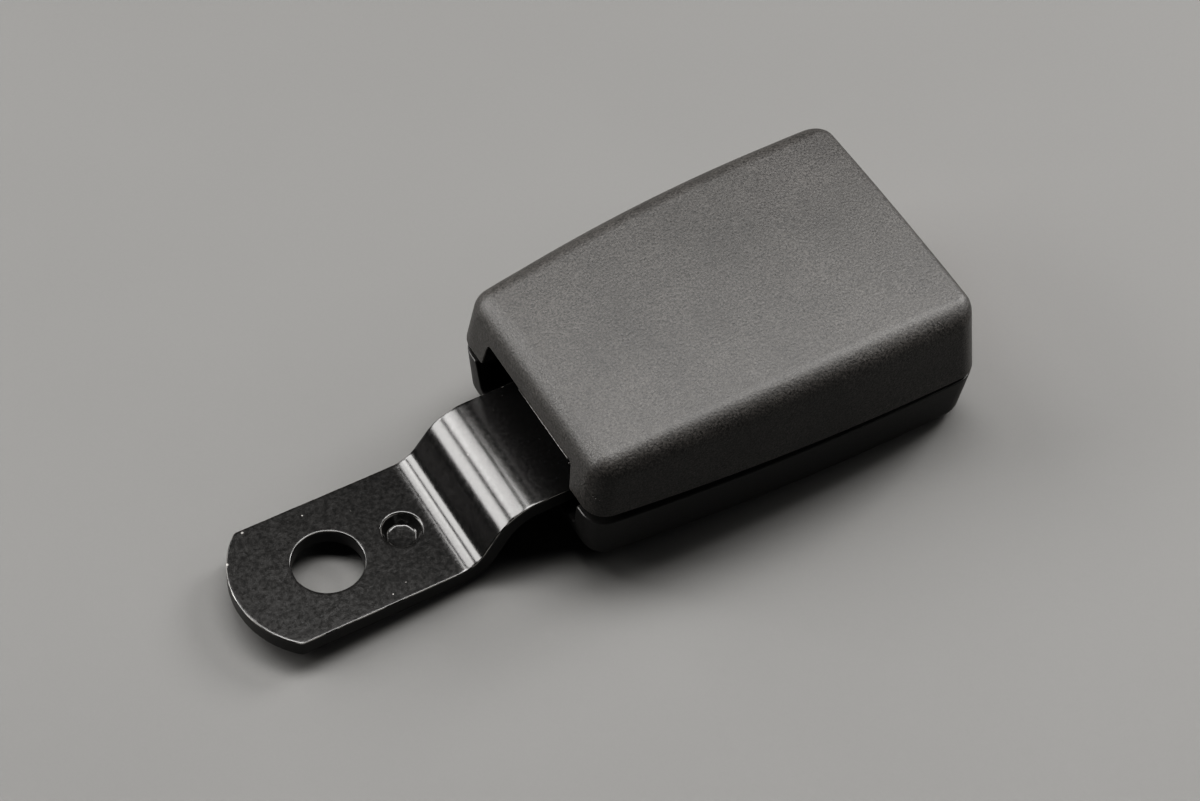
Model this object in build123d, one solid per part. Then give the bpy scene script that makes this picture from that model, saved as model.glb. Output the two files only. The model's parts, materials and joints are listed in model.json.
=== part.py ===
from build123d import *
import os
import math

os.makedirs("parts", exist_ok=True)

# Seat belt buckle with a joggled steel anchor plate and an end-release button.
# Frame: origin at the centre of the anchor hole on the plate's underside,
# +X towards the mouth that the tongue enters, +Z up through the hole.
# All lengths in millimetres.

# ---------------------------------------------------------------- dimensions
# anchor plate
HOLE_R = 6.0            # clearance hole for a 7/16 in anchor bolt
STRAP_T = 3.1           # plate thickness
STRAP_HW = 12.35        # half width of the eye end
NECK_HW = 11.95         # half width of the raised end
END_R = 16.4            # rounded end, concentric with the hole
LOW_CORNER_X = 20.7     # top-side corner of the lower bend
HIGH_CORNER_X = 27.0    # top-side corner of the upper bend
PLATEAU_Z = 12.6        # top of the raised end
STRAP_END_X = 60.0
R_LOW_IN = 5.0          # lower bend, inner radius
R_HIGH_OUT = 9.5        # upper bend, outer radius
PIP_X = 13.5            # locating pip
PIP_R_TOP = 3.5
PIP_R_FLOOR = 2.05
PIP_DEPTH = 2.0
PIP_BOSS_R = 3.0
PIP_BOSS_H = 1.2

# casing
CASE_X0 = 36.0
CASE_X1 = 108.8
PART_Z = 17.1           # lower edge of the upper cover
HW_REAR = 22.17
HW_MID = 25.36
HW_FRONT = 25.68
TOP_Z_REAR = 28.0
TOP_Z_MID = 32.06
TOP_Z_FRONT = 33.0
DRAFT = 6.2
CROWN_R = 420.0
R_TOP = 4.5
R_V_REAR = 4.2
R_V_FRONT = 4.3
WALL = 2.2
LOW_RIM_REAR = 15.05    # top edge of the lower cover's outer wall
LOW_RIM_FRONT = 16.45
BOT_Z_REAR = 4.1
BOT_Z_FRONT = 5.5
LOW_DRAFT = 4.9
R_BOTTOM = 3.0
NOTCH_HW_LOW = 14.4
NOTCH_HW_TOP = 13.4
NOTCH_TOP_Z = 22.6

# tongue passage
FLOOR_T = 2.0
FLOOR_Z = PLATEAU_Z + FLOOR_T      # 14.6, the tongue slides on this
PASS_TOP = 18.9
CH_X0 = 44.0
CH_X1 = 97.0
CH_HW_IN = 13.2
CH_T = 2.2
CH_HW = CH_HW_IN + CH_T            # 15.4
WALL_TOP = 27.8

# latch
PIVOT_X = 58.0
PIVOT_Z = 22.2
PIVOT_R = 1.5
LATCH_ANGLE = 7.0
BUTTON_TRAVEL = 5.0
LOCK_X = 80.0
LOCK_Z = 24.8
LOCK_R = 1.5
EJECT_TRAVEL = 11.0
BTN_X0 = 101.6          # push button, rear face
BTN_Z0 = 20.15
BTN_Z1 = 28.0
BTN_HW = 17.2


# ------------------------------------------------------------------- helpers
def box(x0, x1, y0, y1, z0, z1):
    return Pos((x0 + x1) / 2, (y0 + y1) / 2, (z0 + z1) / 2) * Box(x1 - x0, y1 - y0, z1 - z0)


def cyl_y(x, z, r, y0, y1):
    return Pos(x, (y0 + y1) / 2, z) * Rot(90, 0, 0) * Cylinder(r, y1 - y0)


def cyl_x(y, z, r, x0, x1):
    return Pos((x0 + x1) / 2, y, z) * Rot(0, 90, 0) * Cylinder(r, x1 - x0)


def cyl_z(x, y, r, z0, z1):
    return Pos(x, y, (z0 + z1) / 2) * Cylinder(r, z1 - z0)


def prism_y(pts, y0, y1):
    # closed polygon in X, Z extruded along Y
    face = make_face(Polyline(*[(x, 0, z) for x, z in pts], close=True))
    solid = extrude(face, amount=y1 - y0, dir=(0, 1, 0))
    return Pos(0, y0, 0) * solid


def one(shape):
    s = shape.solids()
    return s[0] if len(s) == 1 else Compound(children=list(s))


def put(name, shape):
    shape = one(shape) if not isinstance(shape, (Solid, Compound)) or len(shape.solids()) > 1 else shape
    export_step(shape, f"parts/{name}.step")
    sol = shape.solids()
    print(f"{name}: {len(sol)} solid(s), {sum(s.volume for s in sol):.1f} mm3")


def coil(p0, axis, length, radius, wire, turns):
    # round-wire compression spring from p0 along axis ('x' or 'z'); length is over the wire
    pitch = (length - wire) / turns
    helix = Helix(pitch=pitch, height=length - wire, radius=radius)
    start = Plane(origin=helix @ 0, z_dir=helix % 0)
    s = sweep(start * Circle(wire / 2), path=helix)
    s = Pos(0, 0, wire / 2) * s
    if axis == "x":
        s = Rot(0, 90, 0) * s
    return Pos(*p0) * s


# -------------------------------------------------------------- anchor plate
t = STRAP_T
dz = PLATEAU_Z - t
ang = math.atan2(dz, HIGH_CORNER_X - LOW_CORNER_X)
off = t * math.tan(ang / 2)
low_under_x = LOW_CORNER_X + off
high_under_x = HIGH_CORNER_X + off
prof = Polyline((-22, 0, t), (LOW_CORNER_X, 0, t), (HIGH_CORNER_X, 0, PLATEAU_Z), (STRAP_END_X, 0, PLATEAU_Z),
                (STRAP_END_X, 0, PLATEAU_Z - t), (high_under_x, 0, PLATEAU_Z - t), (low_under_x, 0, 0), (-22, 0, 0),
                close=True)
strap = extrude(make_face(prof), amount=40, dir=(0, 1, 0))
strap = Pos(0, -20, 0) * strap


def bend_edge(shape, x, z):
    es = [e for e in shape.edges() if abs(e.center().X - x) < 0.02 and abs(e.center().Z - z) < 0.02
          and e.length > 39]
    return es


for x, z, r in ((LOW_CORNER_X, t, R_LOW_IN), (low_under_x, 0, R_LOW_IN + t),
                (HIGH_CORNER_X, PLATEAU_Z, R_HIGH_OUT), (high_under_x, PLATEAU_Z - t, R_HIGH_OUT - t)):
    strap = fillet(bend_edge(strap, x, z), r)
plan = Polyline((-22, -STRAP_HW), (20, -STRAP_HW), (31, -NECK_HW), (70, -NECK_HW), (70, NECK_HW), (31, NECK_HW),
                (20, STRAP_HW), (-22, STRAP_HW), close=True)
trim = extrude(make_face(plan), amount=40)
trim = Pos(0, 0, -5) * trim
end = Pos(0, 0, 15) * Cylinder(END_R, 60) + box(0, 80, -30, 30, -10, 40)
strap = (strap & trim) & end
strap = strap - cyl_z(0, 0, HOLE_R, -1, t + 1)
# pressed locating pip: recess above, boss below
recess = Pos(PIP_X, 0, t - PIP_DEPTH / 2 + 0.005) * Cone(PIP_R_FLOOR, PIP_R_TOP, PIP_DEPTH + 0.01)
strap = strap + (Pos(PIP_X, 0, -PIP_BOSS_H / 2) * Cylinder(PIP_BOSS_R, PIP_BOSS_H))
strap = strap - recess
for y in (-8, 8):
    strap = strap - cyl_z(50, y, 2.5, 5, 20)
put("anchor_plate", strap)

# rivets: shank through strap and channel floor, domed heads both sides
riv = None
for y in (-8, 8):
    r = cyl_z(50, y, 2.5, PLATEAU_Z - t, FLOOR_Z)
    h1 = fillet(cyl_z(50, y, 4.0, FLOOR_Z, FLOOR_Z + 1.5).edges().sort_by(Axis.Z)[-1:], 1.0)
    h2 = fillet(cyl_z(50, y, 4.0, PLATEAU_Z - t - 1.5, PLATEAU_Z - t).edges().sort_by(Axis.Z)[:1], 1.0)
    r = r + h1 + h2
    riv = r if riv is None else Compound(children=[riv, r])
put("anchor_rivets", riv)


# ------------------------------------------------------------------- casing
def outline(grow, z):
    # plan outline of the casing at the parting level, offset outwards by grow
    x0, x1 = CASE_X0 - grow, CASE_X1 + grow
    xm = (CASE_X0 + CASE_X1) / 2
    side_r = ThreePointArc((x0, -(HW_REAR + grow)), (xm, -(HW_MID + grow)), (x1, -(HW_FRONT + grow)))
    side_l = ThreePointArc((x1, HW_FRONT + grow), (xm, HW_MID + grow), (x0, HW_REAR + grow))
    front = Line((x1, -(HW_FRONT + grow)), (x1, HW_FRONT + grow))
    rear = Line((x0, HW_REAR + grow), (x0, -(HW_REAR + grow)))
    f = make_face([side_r, front, side_l, rear])
    return Pos(0, 0, z) * f


def drafted(grow, z, height, draft, up, rr, rf):
    f = outline(grow, z)
    d = (0, 0, 1) if up else (0, 0, -1)
    s = extrude(f, amount=height, dir=d, taper=draft)
    ve = [e for e in s.edges() if abs(e.center().Z - (z + (height / 2 if up else -height / 2))) < 0.5
          and e.length > height * 0.9 and e.length < height * 1.3]
    rear = [e for e in ve if e.center().X < 60]
    front = [e for e in ve if e.center().X > 60]
    s = fillet(rear, rr)
    ve = [e for e in s.edges() if abs(e.center().Z - (z + (height / 2 if up else -height / 2))) < 0.5
          and e.center().X > 100 and e.length > height * 0.9 and e.length < height * 1.3]
    s = fillet(ve, rf)
    return s


def under_top(drop):
    # solid below the crowned top surface, lowered by drop
    xa, xb = 20, 125
    xm = (CASE_X0 + CASE_X1) / 2
    # circle through the three stated heights
    (x1, z1), (x2, z2), (x3, z3) = (CASE_X0, TOP_Z_REAR), (xm, TOP_Z_MID), (CASE_X1, TOP_Z_FRONT)
    a = 2 * (x2 - x1); b = 2 * (z2 - z1); c = x2**2 + z2**2 - x1**2 - z1**2
    d = 2 * (x3 - x2); e = 2 * (z3 - z2); f = x3**2 + z3**2 - x2**2 - z2**2
    cx = (c * e - b * f) / (a * e - b * d)
    cz = (a * f - c * d) / (a * e - b * d)
    r = math.hypot(x1 - cx, z1 - cz) - drop
    za = cz + math.sqrt(r * r - (xa - cx)**2)
    zb = cz + math.sqrt(r * r - (xb - cx)**2)
    zm = cz + math.sqrt(r * r - (xm - cx)**2)
    base = -40.0
    arc = ThreePointArc((xa, 0, za), (xm, 0, zm), (xb, 0, zb))
    wire = [arc, Line((xb, 0, zb), (xb, 0, base)), Line((xb, 0, base), (xa, 0, base)), Line((xa, 0, base), (xa, 0, za))]
    face = make_face(wire)
    ax = Axis((0, 0, zm - CROWN_R), (1, 0, 0))
    s = revolve(face, axis=ax, revolution_arc=16)
    return Rot(0, 0, 0) * s, ax


def top_solid(drop):
    s, ax = under_top(drop)
    # centre the revolved wedge on the XZ plane
    return s.rotate(ax, -8.0)


def upper_shape(grow, drop, rt):
    s = drafted(grow, PART_Z, 19.0, DRAFT, True, R_V_REAR + grow / 2, R_V_FRONT + grow / 2)
    s = s & top_solid(drop)
    # the rim of the crowned top
    top_face = s.faces().sort_by(Axis.Z)[-1]
    s = fillet(top_face.edges(), rt)
    return s


upper_outer = upper_shape(0.0, 0.0, R_TOP)
upper_inner = upper_shape(-WALL, WALL, R_TOP - WALL)
upper = upper_outer - upper_inner - box(30, 115, -30, 30, PART_Z - 2, PART_Z)
# strap notch in the rear wall
notch = make_face(Polyline((0, -NOTCH_HW_LOW - 0.2, PART_Z - 1), (0, NOTCH_HW_LOW + 0.2, PART_Z - 1),
                           (0, NOTCH_HW_TOP, NOTCH_TOP_Z), (0, -NOTCH_HW_TOP, NOTCH_TOP_Z), close=True))
notch = Pos(34, 0, 0) * extrude(notch, amount=7.5, dir=(1, 0, 0))
notch = fillet(notch.edges().filter_by(Axis.X).sort_by(Axis.Z)[-2:], 0.8)
upper = upper - notch
# front opening for the button and the tongue mouth
MOUTH_HW = 17.6
MOUTH_TOP = 28.3
MOUTH_BOT = 12.5
opening = box(100, 115, -MOUTH_HW, MOUTH_HW, MOUTH_BOT, MOUTH_TOP)
opening = fillet(opening.edges().filter_by(Axis.X), 1.2)
upper = upper - opening
# ribs inside the roof that hold the steel bridge down
for y in (-9.0, 9.0):
    rib = box(67.5, 78.5, y - 0.9, y + 0.9, 29.15, 40) & top_solid(WALL - 0.3)
    upper = upper + rib
# posts that press on the channel walls at the rear
for y in (-14.3, 14.3):
    post = box(45.5, 50.2, y - 1.0, y + 1.0, 20.0, 40) & top_solid(WALL - 0.3)
    upper = upper + post
put("upper_cover", upper)

lower_outer = drafted(0.0, PART_Z, 20.0, LOW_DRAFT, False, R_V_REAR, R_V_FRONT)
slope = math.degrees(math.atan2(BOT_Z_FRONT - BOT_Z_REAR, CASE_X1 - CASE_X0))
keep = prism_y([(20, BOT_Z_REAR - 16 * math.tan(math.radians(slope))), (125, BOT_Z_FRONT + 16.2 * math.tan(math.radians(slope))),
                (125, 60), (20, 60)], -40, 40)
lower_outer = lower_outer & keep
bot_face = lower_outer.faces().sort_by(Axis.Z)[0]
lower_outer = fillet(bot_face.edges(), R_BOTTOM)
lower_inner = drafted(-WALL, PART_Z, 20.0, LOW_DRAFT, False, R_V_REAR - WALL / 2, R_V_FRONT - WALL / 2)
lower_inner = lower_inner & (Pos(0, 0, WALL) * keep)
lower_inner = fillet(lower_inner.faces().sort_by(Axis.Z)[0].edges(), R_BOTTOM - WALL + 0.4)
lower = lower_outer - lower_inner
rim_cut = prism_y([(20, LOW_RIM_REAR - 16 * (LOW_RIM_FRONT - LOW_RIM_REAR) / (CASE_X1 - CASE_X0)),
                   (125, LOW_RIM_FRONT + 16.2 * (LOW_RIM_FRONT - LOW_RIM_REAR) / (CASE_X1 - CASE_X0)), (125, 60), (20, 60)], -40, 40)
lower = lower - rim_cut
# inner lip that stands up behind the upper cover's wall
lip_out = drafted(-WALL - 0.25, 14.2, 4.6, DRAFT, True, R_V_REAR - WALL / 2 + 0.3, R_V_FRONT - WALL / 2 + 0.3)
lip_in = drafted(-WALL - 1.75, 14.0, 5.2, DRAFT, True, R_V_REAR - WALL / 2, R_V_FRONT - WALL / 2)
lip = lip_out - lip_in
foot = Pos(0, 0, 12.6) * extrude(outline(-WALL + 0.3, 0), amount=1.8, dir=(0, 0, 1)) - Pos(0, 0, 12.0) * extrude(outline(-WALL - 1.75, 0), amount=3.0, dir=(0, 0, 1))
lower = lower + lip + foot
# strap notch
lnotch = make_face(Polyline((0, -15.4, 8.2), (0, 15.4, 8.2), (0, 17.6, 20.5), (0, -17.6, 20.5), close=True))
lnotch = Pos(33, 0, 0) * extrude(lnotch, amount=9, dir=(1, 0, 0))
lnotch = fillet(lnotch.edges().filter_by(Axis.X).sort_by(Axis.Z)[:2], 1.5)
lower = lower - lnotch - opening
# ribs that carry the channel
for y in (-14.0, 14.0):
    lower = lower + (box(62, 96, y - 1.0, y + 1.0, 5.0, PLATEAU_Z - 0.9) & (Pos(0, 0, WALL - 0.5) * keep))
# cradle under the strap
for x in (38.6, 56.0):
    lower = lower + (box(x, x + 1.6, -15.0, 15.0, 5.0, 9.4) & (Pos(0, 0, WALL - 0.5) * keep))
put("lower_cover", lower)

# felt pads between the channel and the ribs
pads = Compound(children=[box(64, 94, y - 1.4, y + 1.4, PLATEAU_Z - 0.9, PLATEAU_Z) for y in (-14.0, 14.0)])
put("rattle_pads", pads)

# ------------------------------------------------------------ frame channel
ch = box(CH_X0, CH_X1, -CH_HW, CH_HW, PLATEAU_Z, FLOOR_Z)
for s in (-1, 1):
    wall = prism_y([(CH_X0, PLATEAU_Z), (CH_X1, PLATEAU_Z), (CH_X1, 19.7), (93.0, 19.7), (91.0, 21.5), (91.0, WALL_TOP - 2.2),
                    (88.0, WALL_TOP), (62.0, WALL_TOP), (55.0, 26.4), (52.0, 24.0), (50.5, 19.8), (CH_X0, 19.8)],
                   min(s * CH_HW_IN, s * CH_HW), max(s * CH_HW_IN, s * CH_HW))
    ch = ch + wall
# outer bottom corners rounded as pressed steel
ch = fillet([e for e in ch.edges().filter_by(Axis.X) if abs(abs(e.center().Y) - CH_HW) < 0.01 and abs(e.center().Z - PLATEAU_Z) < 0.01], 2.0)
# window for the tooth, rivet holes
ch = ch - box(83.0, 88.8, -7.4, 7.4, 10, 16)
for y in (-8, 8):
    ch = ch - cyl_z(50, y, 2.5, 10, 16)
# slots for the lock pin
for s in (-1, 1):
    ya, yb = (12.5, 16.0) if s > 0 else (-16.0, -12.5)
    ch = ch - box(LOCK_X - BUTTON_TRAVEL, LOCK_X, ya, yb, LOCK_Z - LOCK_R - 0.08, LOCK_Z + LOCK_R + 0.08)
    ch = ch - cyl_y(LOCK_X, LOCK_Z, LOCK_R + 0.08, ya, yb) - cyl_y(LOCK_X - BUTTON_TRAVEL, LOCK_Z, LOCK_R + 0.08, ya, yb)
    # ejector guide slots
    ch = ch - box(60.6, 78.3, ya, yb, 15.5, 17.9)
ch = ch - cyl_y(PIVOT_X, PIVOT_Z, PIVOT_R, -16, 16)
# spring tabs bent outwards from the walls
for s in (-1, 1):
    ya, yb = (CH_HW, 20.9) if s > 0 else (-20.9, -CH_HW)
    tab = box(62.6, 64.4, ya, yb, 21.6, 26.6)
    ch = ch + tab
    ch = ch - cyl_x(s * 18.4, 24.2, 0.9, 61, 66)
# rear stop tab for the ejector spring
ch = ch + box(45.6, 47.4, -4, 4, FLOOR_Z, 19.4)
ch = ch - cyl_x(0, 16.75, 1.0, 44, 48.5)
# staking tabs on top of the walls that go through the bridge
for s in (-1, 1):
    ya, yb = (CH_HW_IN, CH_HW) if s > 0 else (-CH_HW, -CH_HW_IN)
    for xa in (69.0, 75.0):
        ch = ch + box(xa, xa + 3.0, ya, yb, WALL_TOP - 0.1, WALL_TOP + 1.2)
put("frame_channel", ch)

bridge = box(67.0, 80.0, -CH_HW, CH_HW, WALL_TOP, WALL_TOP + 1.2)
for s in (-1, 1):
    ya, yb = (CH_HW_IN, CH_HW + 1) if s > 0 else (-CH_HW - 1, -CH_HW_IN)
    for xa in (69.0, 75.0):
        bridge = bridge - box(xa, xa + 3.0, ya, yb, WALL_TOP - 1, WALL_TOP + 2)
put("frame_bridge", bridge)

# -------------------------------------------------------------------- latch
LT0, LT1 = PASS_TOP + 0.1, PASS_TOP + 2.1        # 19.0 .. 21.0
latch = box(PIVOT_X, 90.0, -11.3, 11.3, LT0, LT1)
latch = latch + cyl_y(PIVOT_X, PIVOT_Z, 3.1, -11.3, 11.3)
latch = latch + box(PIVOT_X - 0.5, PIVOT_X + 3.1, -11.3, 11.3, LT0 + 0.12, PIVOT_Z)
tooth = prism_y([(84.0, LT0 + 0.5), (84.0, 14.2), (85.2, 14.2), (88.2, 17.6), (88.2, LT0 + 0.5)], -6.0, 6.0)
latch = latch + tooth
ramp_t = math.tan(math.radians(40))
# cam flanges that the lock pin wedges against
x_r0 = 81.04 + (LT1 - 23.56) / ramp_t
x_r1 = 81.04 + (24.6 - 23.56) / ramp_t
for s in (-1, 1):
    ya, yb = (9.3, 11.3) if s > 0 else (-11.3, -9.3)
    latch = latch + prism_y([(x_r0, LT1 - 0.5), (x_r0, LT1), (x_r1, 24.6), (90.0, 24.6), (90.0, LT1 - 0.5)], ya, yb)
    ya, yb = (11.0, 12.8) if s > 0 else (-12.8, -11.0)
    latch = latch + box(86.0, 89.0, ya, yb, 22.6, 24.6)
latch = latch - cyl_y(PIVOT_X, PIVOT_Z, PIVOT_R + 0.05, -12, 12)
# lightening window
latch = latch - fillet(box(73.5, 80.5, -4.5, 4.5, 15, 25).edges().filter_by(Axis.Z), 1.5)
put("latch_plate", latch)

pivot = cyl_y(PIVOT_X, PIVOT_Z, PIVOT_R, -CH_HW - 2.0, CH_HW)
pivot = pivot + fillet(cyl_y(PIVOT_X, PIVOT_Z, 2.4, CH_HW, CH_HW + 1.2).edges().sort_by(Axis.Y)[-1:], 0.5)
groove = cyl_y(PIVOT_X, PIVOT_Z, 2.2, -CH_HW - 1.1, -CH_HW - 0.3) - cyl_y(PIVOT_X, PIVOT_Z, 1.1, -CH_HW - 2, -CH_HW + 1)
pivot = pivot - groove
put("latch_pivot_pin", pivot)
ring = cyl_y(PIVOT_X, PIVOT_Z, 2.6, -CH_HW - 1.0, -CH_HW - 0.4) - cyl_y(PIVOT_X, PIVOT_Z, 1.1, -CH_HW - 2, -CH_HW + 1) - box(PIVOT_X - 0.9, PIVOT_X + 0.9, -18, -14, PIVOT_Z - 4, PIVOT_Z)
put("pivot_pin_ring", ring)

put("latch_spring", coil((69.6, 0, LT1), "z", WALL_TOP - LT1, 2.1, 0.7, 4.5))

# ------------------------------------------------------------------ ejector
ej = box(70.0, 86.0, -12.7, 12.7, FLOOR_Z + 0.12, PASS_TOP - 0.1)
ej = ej - box(82.6, 87.0, -6.7, 6.7, 14, 20)
for s in (-1, 1):
    ya, yb = (12.6, 15.2) if s > 0 else (-15.2, -12.6)
    ej = ej + box(72.0, 78.0, ya, yb, 15.7, 17.7)
ej = fillet([e for e in ej.edges().filter_by(Axis.Z) if abs(e.center().X - 70) < 0.01], 1.0)
put("ejector", ej)
put("ejector_spring", coil((47.4, 0, 16.75), "x", 22.6, 1.55, 0.55, 11))
put("ejector_spring_rod", fillet(cyl_x(0, 16.75, 1.0, 45.6, 58.2).edges().sort_by(Axis.X)[-1:], 0.4)
    + cyl_x(0, 16.75, 1.8, 44.6, 45.6))

# ----------------------------------------------------- button, slider, pin
FACE_TILT = 5.4
face_x = CASE_X1 - 0.35
btn = prism_y([(BTN_X0, BTN_Z0), (face_x - 0.25, BTN_Z0),
               (face_x - math.tan(math.radians(FACE_TILT)) * (BTN_Z1 - PART_Z), BTN_Z1), (BTN_X0, BTN_Z1)], -BTN_HW, BTN_HW)
btn = fillet(btn.edges().filter_by(Axis.X), 1.0)
btn = fillet([e for e in btn.edges() if e.center().X > 106.5 and e.bounding_box().size.X < 1.2], 0.7)
btn = btn - box(BTN_X0 - 1, BTN_X0 + 4.0, -15.0, 15.0, 22.2, 26.2)
put("push_button", btn)

# carrier behind the button
sl = box(BTN_X0 - 1.8, BTN_X0, -20.9, 20.9, 20.2, 27.2)
sl = sl + box(BTN_X0, BTN_X0 + 3.6, -14.8, 14.8, 22.4, 26.0)
for s in (-1, 1):
    ya, yb = (15.9, 20.9) if s > 0 else (-20.9, -15.9)
    sl = sl + box(76.2, BTN_X0, ya, yb, 21.6, 26.9)
    sl = sl - cyl_y(LOCK_X, LOCK_Z, LOCK_R, min(ya, yb) - 1, max(ya, yb) + 1)
    # shoulders that stop against the inside of the front wall
    ya, yb = (17.9, 20.9) if s > 0 else (-20.9, -17.9)
    sl = sl + box(BTN_X0 - 1.0, 105.2, ya, yb, 21.6, 26.5)
    # lifting fingers with ramps
    ya, yb = (11.6, 12.8) if s > 0 else (-12.8, -11.6)
    m = 0.79
    sl = sl + prism_y([(88.3, 21.3), (BTN_X0 - 1.0, 21.3), (BTN_X0 - 1.0, 26.4), (89.0 + (26.4 - 22.45) / m, 26.4), (89.0, 22.45), (88.3, 22.45)], ya, yb)
    # spring pocket in the arm's rear end
    sl = sl - cyl_x(s * 18.4, 24.2, 1.2, 76.0, 77.6)
put("release_slider", sl)

put("lock_pin", cyl_y(LOCK_X, LOCK_Z, LOCK_R, -20.4, 20.4))

for s, nm in ((1, "left"), (-1, "right")):
    put(f"button_spring_{nm}", coil((64.4, s * 18.4, 24.2), "x", 11.8, 1.85, 0.6, 7))
rods = Compound(children=[cyl_x(s * 18.4, 24.2, 0.9, 62.6, 70.0) + cyl_x(s * 18.4, 24.2, 1.6, 61.8, 62.6) for s in (-1, 1)])
put("button_spring_rods", rods)

# ------------------------------------------------------------- tongue guide
tg = box(97.1, 108.0, -17.2, 17.2, PLATEAU_Z + 0.2, 19.9)
slot = box(96, 104.01, -13.0, 13.0, FLOOR_Z - 0.1, PASS_TOP)
tg = tg - slot
flare = loft([Pos(104.0, 0, (FLOOR_Z - 0.1 + PASS_TOP) / 2) * Rot(0, 90, 0) * Rectangle(PASS_TOP - FLOOR_Z + 0.1, 26.0),
              Pos(108.2, 0, (FLOOR_Z - 0.1 + PASS_TOP) / 2) * Rot(0, 90, 0) * Rectangle(PASS_TOP - FLOOR_Z + 0.1 + 0.9, 28.4)])
tg = tg - flare
# hooks under the channel floor
tg = tg + box(94.5, 98.0, -10.0, -6.0, 11.2, PLATEAU_Z) + box(94.5, 98.0, 6.0, 10.0, 11.2, PLATEAU_Z) \
    + box(97.1, 98.0, -10, -6, 11.2, 13.0) + box(97.1, 98.0, 6, 10, 11.2, 13.0)
put("tongue_guide", tg)
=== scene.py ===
import bpy
import bmesh
import json
import math
import random
from mathutils import Vector, Matrix, noise
from mathutils.geometry import delaunay_2d_cdt


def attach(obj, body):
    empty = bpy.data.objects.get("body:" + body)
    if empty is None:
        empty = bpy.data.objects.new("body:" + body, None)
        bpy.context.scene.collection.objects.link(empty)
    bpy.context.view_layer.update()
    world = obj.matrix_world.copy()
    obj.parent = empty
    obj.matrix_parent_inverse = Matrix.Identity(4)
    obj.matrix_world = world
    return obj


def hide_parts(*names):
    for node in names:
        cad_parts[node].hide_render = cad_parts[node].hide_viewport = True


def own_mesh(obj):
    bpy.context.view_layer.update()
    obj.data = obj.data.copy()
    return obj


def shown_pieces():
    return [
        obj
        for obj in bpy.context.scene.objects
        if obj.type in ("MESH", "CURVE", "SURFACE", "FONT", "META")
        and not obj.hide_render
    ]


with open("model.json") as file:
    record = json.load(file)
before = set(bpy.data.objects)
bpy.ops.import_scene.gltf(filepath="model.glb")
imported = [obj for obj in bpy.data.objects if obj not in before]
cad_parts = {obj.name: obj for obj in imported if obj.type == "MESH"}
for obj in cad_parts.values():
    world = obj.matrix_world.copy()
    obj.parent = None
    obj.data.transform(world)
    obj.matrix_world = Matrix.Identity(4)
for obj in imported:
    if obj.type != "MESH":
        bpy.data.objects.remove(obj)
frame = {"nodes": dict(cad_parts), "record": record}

MM = 0.001
random.seed(7)
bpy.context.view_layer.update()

scene = bpy.context.scene
scene.view_settings.view_transform = "Standard"
# a gentle toe: deep shadows sink, mid tones stay
scene.view_settings.use_curve_mapping = True
_cm = scene.view_settings.curve_mapping
_cc = _cm.curves[3]
for _x, _y in ((0.02, 0.0095), (0.06, 0.046), (0.14, 0.133), (0.40, 0.42)):
    _cc.points.new(_x, _y)
_cm.update()
scene.view_settings.look = "None"


# =====================================================================
# small helpers
# =====================================================================
def lerp(a, b, t):
    return a + (b - a) * t


def smooth01(t):
    t = max(0.0, min(1.0, t))
    return t * t * (3 - 2 * t)


def circle3(p1, p2, p3):
    (x1, y1), (x2, y2), (x3, y3) = p1, p2, p3
    a = 2 * (x2 - x1); b = 2 * (y2 - y1); c = x2 * x2 + y2 * y2 - x1 * x1 - y1 * y1
    d = 2 * (x3 - x2); e = 2 * (y3 - y2); f = x3 * x3 + y3 * y3 - x2 * x2 - y2 * y2
    cx = (c * e - b * f) / (a * e - b * d)
    cy = (a * f - c * d) / (a * e - b * d)
    return cx, cy, math.hypot(x1 - cx, y1 - cy)


class Mesh:
    """verts in millimetres, quads and triangles, one value per vertex for rubbed edges and, on the cover rims, a
    painted highlight
    """

    def __init__(self):
        self.v, self.f, self.w = [], [], []

    def add(self, p, wear_and_highlight=0.0):
        self.v.append((p[0], p[1], p[2]))
        self.w.append(wear_and_highlight)
        return len(self.v) - 1

    def ring(self, pts, wear_and_highlight=0.0):
        return [self.add(p, wear_and_highlight) for p in pts]

    def bridge(self, a, b, closed=True):
        n = len(a)
        for i in range(n if closed else n - 1):
            j = (i + 1) % n
            q = [a[i], a[j], b[j], b[i]]
            q = [k for n_, k in enumerate(q) if k not in q[:n_]]
            if len(q) > 2:
                self.f.append(q)

    def build(self, name, body, replaces=(), weld=0.0004, weighted=True):
        me = bpy.data.meshes.new(name)
        me.from_pydata([(x * MM, y * MM, z * MM) for x, y, z in self.v], [], self.f)
        at = me.attributes.new("wear_and_highlight", "FLOAT", "POINT")
        at.data.foreach_set("value", self.w)
        bm = bmesh.new()
        bm.from_mesh(me)
        bmesh.ops.remove_doubles(bm, verts=bm.verts, dist=weld * MM)
        bmesh.ops.dissolve_degenerate(bm, dist=weld * MM * 0.5, edges=bm.edges)
        bmesh.ops.delete(bm, geom=[e for e in bm.edges if not e.link_faces], context="EDGES")
        bmesh.ops.delete(bm, geom=[v for v in bm.verts if not v.link_edges], context="VERTS")
        bmesh.ops.recalc_face_normals(bm, faces=bm.faces)
        for f in bm.faces:
            f.smooth = True
        open_edges = sum(1 for e in bm.edges if len(e.link_faces) != 2)
        bm.to_mesh(me)
        bm.free()
        print(f"{name}: {len(me.vertices)} verts, {len(me.polygons)} faces, {open_edges} open edges")
        ob = bpy.data.objects.new(name, me)
        scene.collection.objects.link(ob)
        if weighted:
            m = ob.modifiers.new("weighted", "WEIGHTED_NORMAL")
            m.mode = "FACE_AREA"
            m.weight = 50
            m.keep_sharp = True
        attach(ob, body)
        if replaces:
            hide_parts(*replaces)
        return ob


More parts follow.
